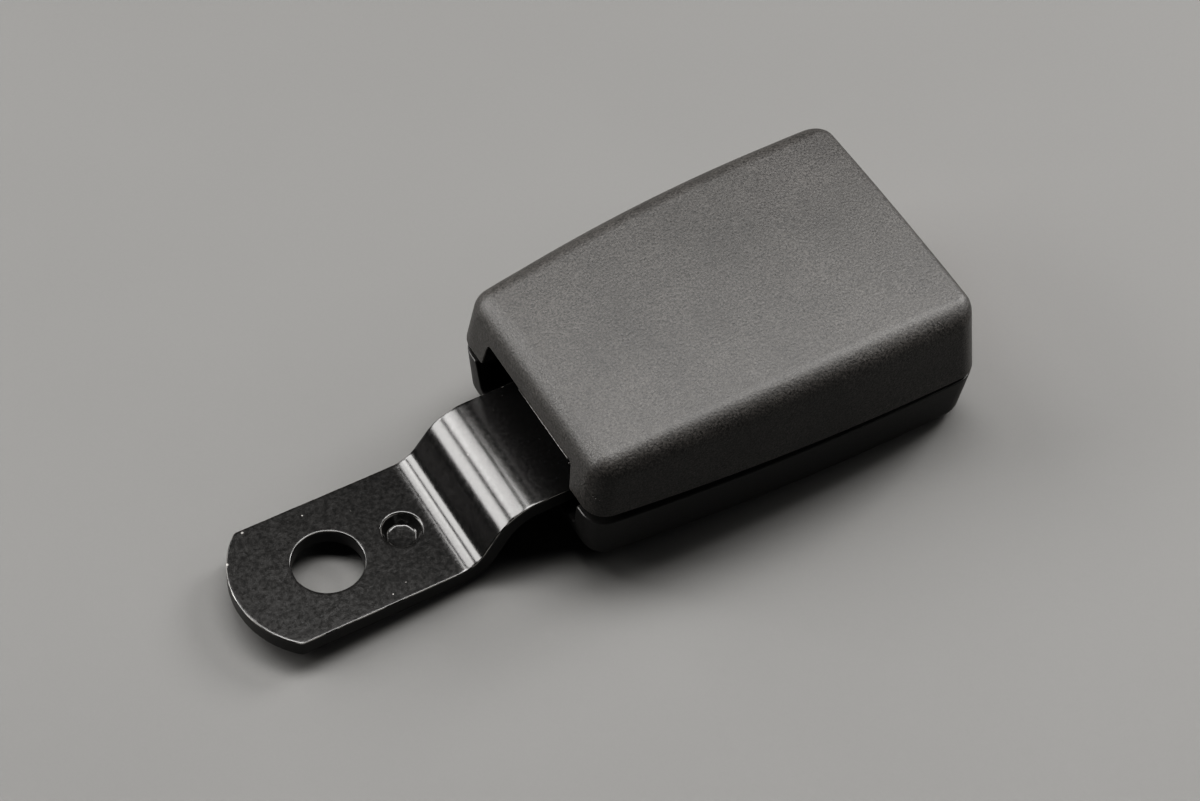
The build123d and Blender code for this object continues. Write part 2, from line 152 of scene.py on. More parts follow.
# =====================================================================
# casing shells
# =====================================================================
CX0, CX1 = 36.0, 108.8
HX, HY, HR = circle3((CX0, 22.17), ((CX0 + CX1) / 2, 25.36), (CX1, 25.68))
TX, TZ, TR = circle3((CX0, 28.0), ((CX0 + CX1) / 2, 32.06), (CX1, 33.0))
XM = (CX0 + CX1) / 2
ZM = TZ + math.sqrt(TR * TR - (XM - TX) ** 2)
CROWN = 420.0
PART_Z = 17.1
WALL = 2.2


def crown(x, y, drop=0.0):
    r = TR - drop
    zt = TZ + math.sqrt(r * r - (x - TX) ** 2)
    zm = TZ + math.sqrt(r * r - (XM - TX) ** 2)
    rad = CROWN + (zt - zm)
    return zm - CROWN + math.sqrt(rad * rad - y * y)


def outline_point(col, o, rr, rf):
    """plan position and outward normal of one column, o millimetres inside the outline"""
    kind, s, t = col
    R = HR - o
    crx = CX0 + o + rr
    cry = HY + math.sqrt((R - rr) ** 2 - (crx - HX) ** 2)
    cfx = CX1 - o - rf
    cfy = HY + math.sqrt((R - rf) ** 2 - (cfx - HX) ** 2)
    ar = math.atan2(cry - HY, crx - HX)
    af = math.atan2(cfy - HY, cfx - HX)
    if kind == "side":
        a = lerp(ar, af, t)
        return HX + R * math.cos(a), s * (HY + R * math.sin(a)), math.cos(a), s * math.sin(a)
    if kind == "rc":
        a = lerp(math.pi, ar, t)
        return crx + rr * math.cos(a), s * (cry + rr * math.sin(a)), math.cos(a), s * math.sin(a)
    if kind == "fc":
        a = lerp(af, 0.0, t)
        return cfx + rf * math.cos(a), s * (cfy + rf * math.sin(a)), math.cos(a), s * math.sin(a)
    if kind == "rear":
        return CX0 + o, t, -1.0, 0.0
    return CX1 - o, t, 1.0, 0.0


def flat_end(o, rr, rf, rear):
    R = HR - o
    if rear:
        x = CX0 + o + rr
        return HY + math.sqrt((R - rr) ** 2 - (x - HX) ** 2)
    x = CX1 - o - rf
    return HY + math.sqrt((R - rf) ** 2 - (x - HX) ** 2)


def gate_path(y_end, z_rim, y_low, y_top, z_top, r_low, r_top, counts):
    """boundary of a gate cut up from the rim, from y = -y_end to +y_end: list of (y, z, ny, nz), normal into the wall"""
    n1, nc1, n2, nc2, n3 = counts
    side = math.atan2(z_top - z_rim, y_low - y_top)      # slant of the gate's side, in (-y, z)
    # right half from the middle of the top outwards, then mirrored
    half = []
    # directions: top edge runs +y with normal +z, side runs down (+y slightly) with normal +y
    up = 1.0 if z_top > z_rim else -1.0
    dy, dz = y_low - y_top, z_rim - z_top
    ln = math.hypot(dy, dz)
    d2 = (dy / ln, dz / ln)                        # direction of travel down the side
    nrm2 = (-d2[1] * up, d2[0] * up)               # normal into the wall
    if nrm2[0] < 0:
        nrm2 = (-nrm2[0], -nrm2[1])
    # rounded inner corner at (y_top, z_top): centre inside the gate
    ang = math.acos(max(-1, min(1, 0 * nrm2[0] + up * nrm2[1])))   # angle between the normals
    tlen = r_top * math.tan(ang / 2)
    a0 = (y_top - tlen, z_top)
    for k in range(n3 // 2 + 1):
        half.append((lerp(0.0, a0[0], k / (n3 // 2)), z_top, 0.0, up))
    c = (a0[0], z_top - up * r_top)
    for k in range(1, nc2 + 1):
        q = ang * k / nc2
        ny, nz = math.sin(q), up * math.cos(q)
        half.append((c[0] + r_top * ny, c[1] + r_top * nz, ny, nz))
    b0 = (half[-1][0], half[-1][1])
    # outer corner at the rim: convex, centre inside the wall
    ang2 = math.pi - ang if False else ang
    tl2 = r_low * math.tan(ang2 / 2)
    b1 = (y_low - d2[0] * tl2, z_rim - d2[1] * tl2)
    for k in range(1, n2 + 1):
        half.append((lerp(b0[0], b1[0], k / n2), lerp(b0[1], b1[1], k / n2), nrm2[0], nrm2[1]))
    c2 = (b1[0] + nrm2[0] * r_low, b1[1] + nrm2[1] * r_low)
    for k in range(1, nc1 + 1):
        q = ang2 * (1 - k / nc1)
        ny, nz = math.sin(q), up * math.cos(q)
        half.append((c2[0] - r_low * ny, c2[1] - r_low * nz, ny, nz))
    e0 = half[-1]
    for k in range(1, n1 + 1):
        half.append((lerp(e0[0], y_end, k / n1), lerp(e0[1], z_rim, k / n1), 0.0, up))
    left = [(-y, z, -ny, nz) for y, z, ny, nz in reversed(half[1:])]
    return left + half


def shell(m, draft, rr, rf, r_top, top, rim_z, gate_rear, gate_front, in_rr, in_rf, r_in, top_in, edge=0.28, edge_in=0.2,
          flip=False, rows=7, rows_in=5, r_front=9.0):
    """a moulded shell: rim with rounded edges, drafted wall, rolled shoulder and crowned roof, inside and outside"""
    td = math.tan(draft)
    z0 = -PART_Z if flip else PART_Z
    NS, NC = 48, 10

    def inset(z):
        return (z - z0) * td

    cols, bottoms = [], []                 # bottoms: (u override or None, z, ny, nz)
    # the loop runs: rear line from -y to +y, left rear corner, left side, left front corner, front line, right side back
    yr = flat_end(inset(rim_z(CX0)), rr, rf, True)
    yf = flat_end(inset(rim_z(CX1)), rr, rf, False)
    rear = gate_rear(yr)
    front = gate_front(yf)
    n_rear, n_front = len(rear) - 1, len(front) - 1

    def tops(path, y_end, y_top):
        # positions where the columns arrive at the shoulder: straight up from the gate's top, fanned out beside it
        out = []
        idx = [i for i, q in enumerate(path) if abs(q[0]) <= y_top + 1e-6]
        lo, hi = idx[0], idx[-1]
        n_out = lo
        for i, q in enumerate(path):
            if lo <= i <= hi:
                out.append(q[0])
            elif i < lo:
                out.append(-lerp(y_end, y_top, i / n_out))
            else:
                out.append(lerp(y_top, y_end, (i - hi) / (len(path) - 1 - hi)))
        return out

    def straight_tops(path, ed):
        # the columns go straight up from the gate's top and corners, and fan out only from its sides
        split, last, out = sum(COUNTS[:3]), len(path) - 1, []
        for i, q in enumerate(path):
            j = min(i, last - i)
            if j >= split:
                out.append((None, q[0] + q[2] * ed))
            else:
                c = path[split if i < last - i else last - split]
                out.append(((split - j) / split, c[0] + c[2] * ed))
        return out

    gate_y = {"rear": abs(rear[COUNTS[0]][0]), "front": abs(front[COUNTS[0]][0])}
    y_rt = rear[len(rear) // 2 + 8][0]
    y_ft = front[len(front) // 2 + 8][0]
    items = []
    for q, yt in zip(rear, tops(rear, 1.0, 0.0) if False else tops(rear, yr, y_rt)):
        items.append((("rear", 1, None), q, yt, yr))
    for k in range(1, NC):
        items.append((("rc", 1, k / NC), None, None, None))
    for k in range(NS + 1):
        items.append((("side", 1, k / NS), None, None, None))
    for k in range(1, NC):
        items.append((("fc", 1, k / NC), None, None, None))
    for q, yt in reversed(list(zip(front, tops(front, yf, y_ft)))):
        items.append((("front", 1, None), q, yt, yf))
    for k in range(NC - 1, 0, -1):
        items.append((("fc", -1, k / NC), None, None, None))
    for k in range(NS, -1, -1):
        items.append((("side", -1, k / NS), None, None, None))
    for k in range(NC - 1, 0, -1):
        items.append((("rc", -1, k / NC), None, None, None))
    n = len(items)
    tops_inside = {i: t for i, t in enumerate(straight_tops(rear, edge_in))}
    first = next(i for i in range(n) if items[i][0][0] == "front")
    tops_inside.update({first + i: t for i, t in enumerate(reversed(straight_tops(front, edge_in)))})
    tops_outside = {first + i: t for i, t in enumerate(reversed(straight_tops(front, edge)))}
    if flip:
        tops_outside.update({i: t for i, t in enumerate(straight_tops(rear, edge))})
    # nearness of a column to a plan corner, 1 on the corner arc and 0 well away
    base_xy = []
    for it in items:
        col, q, yt, ye = it
        c = col if q is None else (col[0], 1, yt)
        base_xy.append(outline_point(c, 0.0, rr, rf)[:2])

    def corner_near(i):
        x, y = base_xy[i]
        kind = items[i][0][0]
        if kind in ("rc", "fc"):
            return 1.0
        if kind == "side":
            t = items[i][0][2]
            return smooth01(1 - min(t, 1 - t) * 70 / 9.0)
        ye = flat_end(0.0, rr, rf, kind == "rear")
        return smooth01(1 - (ye - abs(y)) / 7.0)

    sign = -1.0 if flip else 1.0

    def put(i, y, z, depth, wear_and_highlight=0.0):
        col = items[i][0]
        k = depth / WALL
        a, b = lerp(rr, in_rr, k), lerp(rf, in_rf, k)
        o = inset(z) + depth
        if items[i][1] is not None:
            x, yy, _, _ = outline_point((col[0], 1, y), o, a, b)
        else:
            x, yy, _, _ = outline_point(col, o, a, b)
        return m.add((x, yy, sign * z), wear_and_highlight)

    def boundary(i, depth=0.0):
        q = items[i][1]
        if q is None:
            x, _ = base_xy[i]
            return (None, rim_z(x), 0.0, 1.0)
        kind, ye = items[i][0][0], items[i][3]
        g = gate_y[kind]
        if depth <= 0 or abs(q[0]) <= g:
            return q
        k = depth / WALL
        end = flat_end(inset(q[1]) + depth, lerp(rr, in_rr, k), lerp(rf, in_rf, k), kind == "rear")
        return (math.copysign(lerp(g, end, (abs(q[0]) - g) / (ye - g)), q[0]),) + tuple(q[1:])

    def shoulder(i, depth, radius, roof):
        """centre of the rolled shoulder for a column, its outward direction and the two end angles"""
        col, q, yt, ye = items[i]
        k = depth / WALL
        a, b = lerp(rr, in_rr, k), lerp(rf, in_rf, k)
        near = corner_near(i)
        lim = (a if base_xy[i][0] < XM else b) * math.cos(draft) - 0.06
        R = lerp(radius, min(radius, lim), near)
        kind = items[i][0][0]
        R = lerp(R, min(R, r_front), 1.0 if kind == "front" else smooth01(items[i][0][2]) if kind == "fc" else 0.0)
        z = roof(*base_xy[i]) - R
        beta = 0.0
        for _ in range(12):
            o = inset(z) + depth
            if q is not None:
                ye_o = flat_end(o, a, b, col[0] == "rear")
                if depth > 0 or i in tops_outside:
                    f, y = (tops_inside if depth > 0 else tops_outside)[i]
                    y = y if f is None else math.copysign(lerp(abs(y), ye_o, f), y)
                else:
                    y = yt * ye_o / ye
                x, y, nx, ny = outline_point((col[0], 1, y), o, a, b)
            else:
                x, y, nx, ny = outline_point(col, o, a, b)
            cx, cy = x - nx * R / math.cos(draft), y - ny * R / math.cos(draft)
            h = 0.2
            g = (roof(cx - nx * h, cy - ny * h) - roof(cx, cy)) / h
            beta = math.atan(g)
            z = roof(cx, cy) - R / math.cos(beta)
        return cx, cy, z, nx, ny, R, beta, y

    def make_side(depth, radius, roof, ed, rows_wall, rows_arc, wear_on):
        """rings from the rim's arc up to the edge of the roof"""
        rings = []
        sh = [shoulder(i, depth, radius, roof) for i in range(n)]
        top_z = [s[2] + s[5] * math.sin(draft) for s in sh]
        top_y = [s[7] for s in sh]
        for r in range(rows_wall + 1):
            k = r / rows_wall
            ring = []
            for i in range(n):
                y, z, ny, nz = boundary(i, depth)
                zb = z + nz * ed
                if y is not None:
                    yb = y + ny * ed
                    ring.append(put(i, lerp(yb, top_y[i], k), lerp(zb, top_z[i], k), depth))
                else:
                    ring.append(put(i, None, lerp(zb, top_z[i], k), depth))
            rings.append(ring)
        for r in range(1, rows_arc + 1):
            ring = []
            for i in range(n):
                cx, cy, cz, nx, ny, R, beta, _ = sh[i]
                psi = lerp(draft, math.pi / 2 - beta, r / rows_arc)
                ring.append(m.add((cx + nx * R * math.cos(psi), cy + ny * R * math.cos(psi), sign * (cz + R * math.sin(psi)))))
            rings.append(ring)
        return rings

    outer = make_side(0.0, r_top, top, edge, rows, 12, True)
    inner = make_side(WALL, r_in, top_in, edge_in, rows_in, 5, False)
    # rim: rounded outer edge, flat, rounded inner edge
    rim = []
    steps = 5
    for k in range(1, steps + 1):
        p = math.pi / 2 * k / steps
        off, dep = edge * (1 - math.sin(p)), edge * (1 - math.cos(p))
        ring = []
        for i in range(n):
            y, z, ny, nz = boundary(i, dep)
            # the rounded outer edge carries value 1.0: polished in the cover material and lightened there as a painted
            # highlight
            ring.append(put(i, None if y is None else y + ny * off, z + nz * off, dep, 1.0 if 1 <= k <= 4 else 0.25))
        rim.append(ring)
    for k in range(0, 4):
        p = math.pi / 2 * k / 3
        off, dep = edge_in * (1 - math.cos(p)), WALL - edge_in + edge_in * math.sin(p)
        ring = []
        for i in range(n):
            y, z, ny, nz = boundary(i, dep)
            if k == 3:
                ring.append(inner[0][i])
            else:
                ring.append(put(i, None if y is None else y + ny * off, z + nz * off, dep))
        rim.append(ring)
    chain = list(reversed(outer)) + rim[:-1] + inner
    for a, b in zip(chain, chain[1:]):
        m.bridge(a, b)

    # roofs: transfinite patch between the four corner columns
    i_rl = n_rear + NC // 2                      # middle of the left rear corner
    i_fl = n_rear + NC + NS + NC // 2
    i_fr = i_fl + NC // 2 + n_front + NC // 2
    i_rr = i_fr + NC // 2 + NS + NC // 2

    def roof_patch(ring, roof):
        rear_e = [ring[k % n] for k in range(i_rr - n, i_rl + 1)]            # right rear to left rear
        left_e = [ring[k] for k in range(i_rl, i_fl + 1)]
        front_e = list(reversed([ring[k] for k in range(i_fl, i_fr + 1)]))   # right front to left front
        right_e = list(reversed([ring[k] for k in range(i_fr, i_rr + 1)]))   # rear to front
        nu, nv = len(rear_e) - 1, len(left_e) - 1
        P = [[None] * (nu + 1) for _ in range(nv + 1)]
        for a in range(nu + 1):
            P[0][a], P[nv][a] = rear_e[a], front_e[a]
        for b in range(nv + 1):
            P[b][0], P[b][nu] = right_e[b], left_e[b]
        xy = lambda k: (m.v[k][0], m.v[k][1])
        # parameters by mean arc length, so that the lines run straight
        def params(e1, e2):
            out = [0.0]
            for k in range(1, len(e1)):
                d1 = math.dist(xy(e1[k]), xy(e1[k - 1])); d2 = math.dist(xy(e2[k]), xy(e2[k - 1]))
                out.append(out[-1] + (d1 + d2) / 2)
            return [q / out[-1] for q in out]
        U, V = params(rear_e, front_e), params(right_e, left_e)
        c00, c10, c01, c11 = xy(P[0][0]), xy(P[0][nu]), xy(P[nv][0]), xy(P[nv][nu])
        for b in range(1, nv):
            for a in range(1, nu):
                u, v = U[a], V[b]
                B0, B1, L0, L1 = xy(P[0][a]), xy(P[nv][a]), xy(P[b][0]), xy(P[b][nu])
                p = [(1 - v) * B0[k] + v * B1[k] + (1 - u) * L0[k] + u * L1[k]
                     - ((1 - u) * (1 - v) * c00[k] + u * (1 - v) * c10[k] + (1 - u) * v * c01[k] + u * v * c11[k]) for k in (0, 1)]
                P[b][a] = m.add((p[0], p[1], sign * roof(p[0], p[1])))
        for b in range(nv):
            for a in range(nu):
                m.f.append([P[b][a], P[b][a + 1], P[b + 1][a + 1], P[b + 1][a]])

    roof_patch(outer[-1], top)
    roof_patch(inner[-1], top_in)
    return outer, rim


COUNTS = (4, 3, 7, 4, 16)


def make_upper_cover():
    m = Mesh()
    shell(m, math.radians(6.2), 4.2, 4.3, 4.5, lambda x, y: crown(x, y), lambda x: PART_Z,
          lambda ye: gate_path(ye, PART_Z, 14.38, 13.4, 22.6, 0.5, 0.8, COUNTS),
          lambda ye: gate_path(ye, PART_Z, 17.62, 17.6, 28.3, 0.5, 1.2, COUNTS),
          3.1, 3.2, 1.5, lambda x, y: crown(x, y, WALL), edge=0.30, edge_in=0.2, r_front=2.3)
    return m.build("upper_cover_shell", "frame", ("upper_cover",))


def low_rim(x):
    return -(15.05 + (x - CX0) / (CX1 - CX0) * 1.4)


def low_floor(x, y, up=0.0):
    return -(4.1 + (x - CX0) / (CX1 - CX0) * 1.4 + up)


def make_lower_cover():
    m = Mesh()
    shell(m, math.radians(4.9), 4.2, 4.3, 3.0, lambda x, y: low_floor(x, y), low_rim,
          lambda ye: gate_path(ye, -15.05, 16.62, 15.4, -8.2, 0.5, 1.5, COUNTS),
          lambda ye: gate_path(ye, -16.45, 17.62, 17.6, -12.5, 0.5, 1.2, COUNTS),
          1.4, 3.2, 1.0, lambda x, y: low_floor(x, y, WALL), edge=0.28, edge_in=0.2, flip=True)
    return m.build("lower_cover_shell", "frame", ("lower_cover",))


upper = make_upper_cover()
lower = make_lower_cover()


# the lip inside the lower cover that stands up behind the upper cover's wall, one length along each side
def make_lips():
    m = Mesh()
    td = math.tan(math.radians(6.2))
    for s in (-1, 1):
        cols = [("rear", s, k) for k in (0.0, 0.34, 0.67)] + [("rc", s, k / 8) for k in range(0, 9)] \
            + [("side", s, k / 30) for k in range(1, 30)] + [("fc", s, k / 8) for k in range(0, 9)] \
            + [("front", s, k) for k in (0.67, 0.34, 0.0)]
        sections = []
        for c in cols:
            sec = []
            for d, z in ((2.05, 12.7), (2.35, 14.1), (2.47, 14.6), (2.47, 18.45), (2.60, 18.72), (2.80, 18.8),
                         (3.75, 18.8), (3.90, 18.72), (3.97, 18.5), (3.97, 12.7)):
                o = d + (max(z, 14.2) - 14.2) * td if z > 14.2 else d
                rr, rf = 4.2 - d / 2, 4.3 - d / 2
                if c[0] in ("rear", "front"):
                    ye = flat_end(o, rr, rf, c[0] == "rear")
                    yin = 17.25 if c[0] == "rear" else 17.95
                    y = s * lerp(min(yin, ye - 0.05), ye, c[2])
                    x, y, _, _ = outline_point((c[0], 1, y), o, rr, rf)
                else:
                    x, y, _, _ = outline_point(c, o, rr, rf)
                sec.append((x, y, z))
            sections.append(m.ring(sec))
        for a, b in zip(sections, sections[1:]):
            m.bridge(a, b)
        m.f.append(list(reversed(sections[0])))
        m.f.append(sections[-1])
    return m.build("lower_cover_lip", "frame")


lips = make_lips()


def make_rear_flash():
    """thin moulding flash along the lower edge of the rear wall over the strap, with a blob where it ends; its
    vertices take the cover's polished finish and a lighter colour that is a painted highlight
    """
    m = Mesh()
    off = (22.6 - PART_Z) * math.tan(math.radians(6.2))
    x0, z0 = CX0 + off - 0.01, 22.6 + 0.03
    NK, NR = 64, 10
    rings = []
    for k in range(NK + 1):
        t = k / NK
        y = lerp(3.4, -12.95, t)
        r = 0.115 * (0.35 + 0.65 * smooth01(t * 2.2)) * (1 + 0.16 * math.sin(y * 5.1) + 0.12 * math.sin(y * 11.7 + 1))
        if k in (0, NK):
            r *= 0.25
        rings.append(m.ring([(x0 + r * math.cos(a), y, z0 + r * math.sin(a)) for a in [2 * math.pi * j / NR for j in range(NR)]], 1.0))
    for a, b in zip(rings, rings[1:]):
        m.bridge(a, b)
    m.f.append(list(reversed(rings[0])))
    m.f.append(list(rings[-1]))
    c = (x0 + 0.02, -13.25, 22.05)
    prev = None
    for k in range(1, 8):
        a = math.pi * k / 8
        ring = m.ring([(c[0] + 0.20 * math.sin(a) * math.cos(b), c[1] + 0.17 * math.sin(a) * math.sin(b), c[2] + 0.24 * math.cos(a))
                       for b in [2 * math.pi * j / 12 for j in range(12)]], 1.0)
        if prev:
            m.bridge(prev, ring)
        else:
            m.f.append(list(ring))
        prev = ring
    m.f.append(list(reversed(prev)))
    # moulding mark low on the right rear corner: small bumps, glossy from scuffing, with a lighter colour that is a
    # painted glint
    for cx, cy, cz, r in ((37.02, -20.16, 21.15, 0.10), (37.30, -20.62, 20.85, 0.13), (37.62, -21.02, 20.72, 0.09), (37.24, -20.50, 20.55, 0.08)):
        prev = None
        for k in range(1, 7):
            a = math.pi * k / 7
            ring = m.ring([(cx + r * math.sin(a) * math.cos(b), cy + r * 1.3 * math.sin(a) * math.sin(b), cz + r * 1.5 * math.cos(a))
                           for b in [2 * math.pi * j / 10 for j in range(10)]], 1.0)
            if prev:
                m.bridge(prev, ring)
            else:
                m.f.append(list(ring))
            prev = ring
        m.f.append(list(reversed(prev)))
    return m.build("rear_edge_flash", "frame")


flash = make_rear_flash()


def make_spring(name, p0, axis, length, rad, wire, turns, node, joint, keep, anchor):
    """round-wire compression spring with closed end turns; its joint, axis direction, anchor and keep value are listed
    in springs
    """
    m = Mesh()
    per, nr = 26, 9
    dead = 0.8
    n = int(turns * per)
    act = length - wire - 2 * dead * wire
    rings = []
    for k in range(n + 1):
        t = turns * k / n
        if t < dead:
            u = t * wire
        elif t > turns - dead:
            u = length - wire - (turns - t) * wire
        else:
            u = dead * wire + act * (t - dead) / (turns - 2 * dead)
        u += wire / 2
        a = 2 * math.pi * t
        ca, sa = math.cos(a), math.sin(a)
        ring = []
        for j in range(nr):
            b = 2 * math.pi * j / nr
            rr, uu = rad + wire / 2 * math.cos(b), u + wire / 2 * math.sin(b)
            q = (rr * ca, rr * sa)
            ring.append((p0[0] + uu, p0[1] + q[0], p0[2] + q[1]) if axis == "x" else (p0[0] + q[0], p0[1] + q[1], p0[2] + uu))
        rings.append(m.ring(ring))
    for a, b in zip(rings, rings[1:]):
        m.bridge(a, b)
    m.f.append(list(reversed(rings[0])))
    m.f.append(list(rings[-1]))
    ob = m.build(name, "frame", (node,))
    vec = (1, 0, 0) if axis == "x" else (0, 0, 1)
    springs.append((ob, joint, vec, tuple(c * MM for c in anchor), keep))
    return ob


def make_eased(node, name, body, slot, width, least=35.0, bend=None):
    """the moulded part with its sharp edges rounded over"""
    src = frame["nodes"][node]
    bm = bmesh.new()
    bm.from_mesh(src.data)
    bm.transform(src.matrix_world)
    bmesh.ops.remove_doubles(bm, verts=bm.verts, dist=0.002 * MM)
    bmesh.ops.dissolve_limit(bm, angle_limit=math.radians(1.5), verts=bm.verts, edges=bm.edges, use_dissolve_boundaries=False)
    sharp = [e for e in bm.edges if len(e.link_faces) == 2 and e.calc_face_angle() > math.radians(least)]
    bmesh.ops.bevel(bm, geom=sharp, offset=width * MM, offset_type="OFFSET", segments=3, profile=0.5, affect="EDGES", clamp_overlap=True)
    bmesh.ops.remove_doubles(bm, verts=bm.verts, dist=0.0005 * MM)
    bmesh.ops.recalc_face_normals(bm, faces=bm.faces)
    m = Mesh()
    bm.verts.index_update()
    for v in bm.verts:
        m.add((v.co.x / MM, v.co.y / MM, v.co.z / MM))
    for f in bm.faces:
        m.f.append([v.index for v in f.verts])
    bm.free()
    ob = m.build(name, body, (node,), weld=0.0001)
    eased.append((ob, slot))
    return ob


eased = []
make_eased("tongue_guide", "tongue_guide_moulding", "frame", "guide_plastic", 0.28)
springs = []
make_spring("ejector_coil", (47.4, 0, 16.75), "x", 22.6, 1.55, 0.55, 11, "ejector_spring", "ejector_slide", 0.513, (47.4, 0, 16.75))
make_spring("latch_coil", (69.6, 0, 21.0), "z", 6.8, 2.1, 0.7, 4.5, "latch_spring", "latch_pivot", 0.72, (69.6, 0, 27.8))
for _n, _s in (("left", 1), ("right", -1)):
    make_spring(f"button_coil_{_n}", (64.4, _s * 18.4, 24.2), "x", 11.8, 1.85, 0.6, 7, f"button_spring_{_n}", "button_slide", 0.576,
                (64.4, _s * 18.4, 24.2))


# =====================================================================
# anchor plate: flat blank, joggled and pressed
# =====================================================================
T = 3.1
ANG = math.atan2(12.6 - T, 27.0 - 20.7)
R1, R2 = 5.0, 9.5
XA = 20.7 - R1 * math.tan(ANG / 2)
XD = 27.0 + R2 * math.tan(ANG / 2)
N1, N2 = R1 + T / 2, R2 - T / 2                  # radii at mid thickness
S1 = XA
S2 = S1 + N1 * ANG
_p1 = (XA + R1 * math.sin(ANG), T + R1 * (1 - math.cos(ANG)))
_p2 = (XD - R2 * math.sin(ANG), 12.6 - R2 * (1 - math.cos(ANG)))
S3 = S2 + math.dist(_p1, _p2)
S4 = S3 + N2 * ANG
S_END = S4 + (60.0 - XD)


def plate_point(s, y, h):
    """point on the bent plate: s along it, y across it, h above its underside"""
    if s <= S1:
        return (s, y, h)
    if s <= S2:
        a = (s - S1) / N1
        r = R1 + T - h
        return (XA + r * math.sin(a), y, T + R1 - r * math.cos(a))
    if s <= S3:
        r = R1 + T - h
        d = s - S2
        return (XA + r * math.sin(ANG) + d * math.cos(ANG), y, T + R1 - r * math.cos(ANG) + d * math.sin(ANG))
    if s <= S4:
        a = ANG - (s - S3) / N2
        r = R2 - T + h
        return (XD - r * math.sin(a), y, 12.6 - R2 + r * math.cos(a))
    return (XD + (s - S4), y, 12.6 - T + h)


def half_width(s):
    return lerp(12.35, 11.95, max(0.0, min(1.0, (s - 20.0) / 16.0)))


def circle_loop(cx, cy, r, n, start=0.0, mod=None):
    out = []
    for k in range(n):
        a = start + 2 * math.pi * k / n
        q = r * (1 + (mod(a) if mod else 0.0))
        out.append((cx + q * math.cos(a), cy + q * math.sin(a)))
    return out


def planar_fill(m, loops, holes, height, flip, extra=()):
    """triangles between vertex loops that lie on a flat stretch of the plate; loops: list of (ids, [(s, y)])"""
    pts, ids = [], []
    for idl, pl in loops + holes:
        pts += [Vector(p) for p in pl]
        ids += idl
    for p in extra:
        pts.append(Vector(p))
        ids.append(m.add(plate_point(p[0], p[1], height)))
    edges, base = [], 0
    for idl, pl in loops + holes:
        k = len(pl)
        edges += [(base + i, base + (i + 1) % k) for i in range(k)]
        base += k
    vo, eo, fo, ov, oe, of_ = delaunay_2d_cdt(pts, edges, [], 0, 1e-6)

    def inside(poly, p):
        c = False
        for i in range(len(poly)):
            (x1, y1), (x2, y2) = poly[i], poly[i - 1]
            if (y1 > p[1]) != (y2 > p[1]) and p[0] < (x2 - x1) * (p[1] - y1) / (y2 - y1) + x1:
                c = not c
        return c
    back = [o[0] if o else None for o in ov]
    for f in fo:
        c = sum((vo[i] for i in f), Vector((0, 0))) / len(f)
        if not inside(loops[0][1], c) or any(inside(h[1], c) for h in holes):
            continue
        m.f.append([ids[back[i]] for i in f])


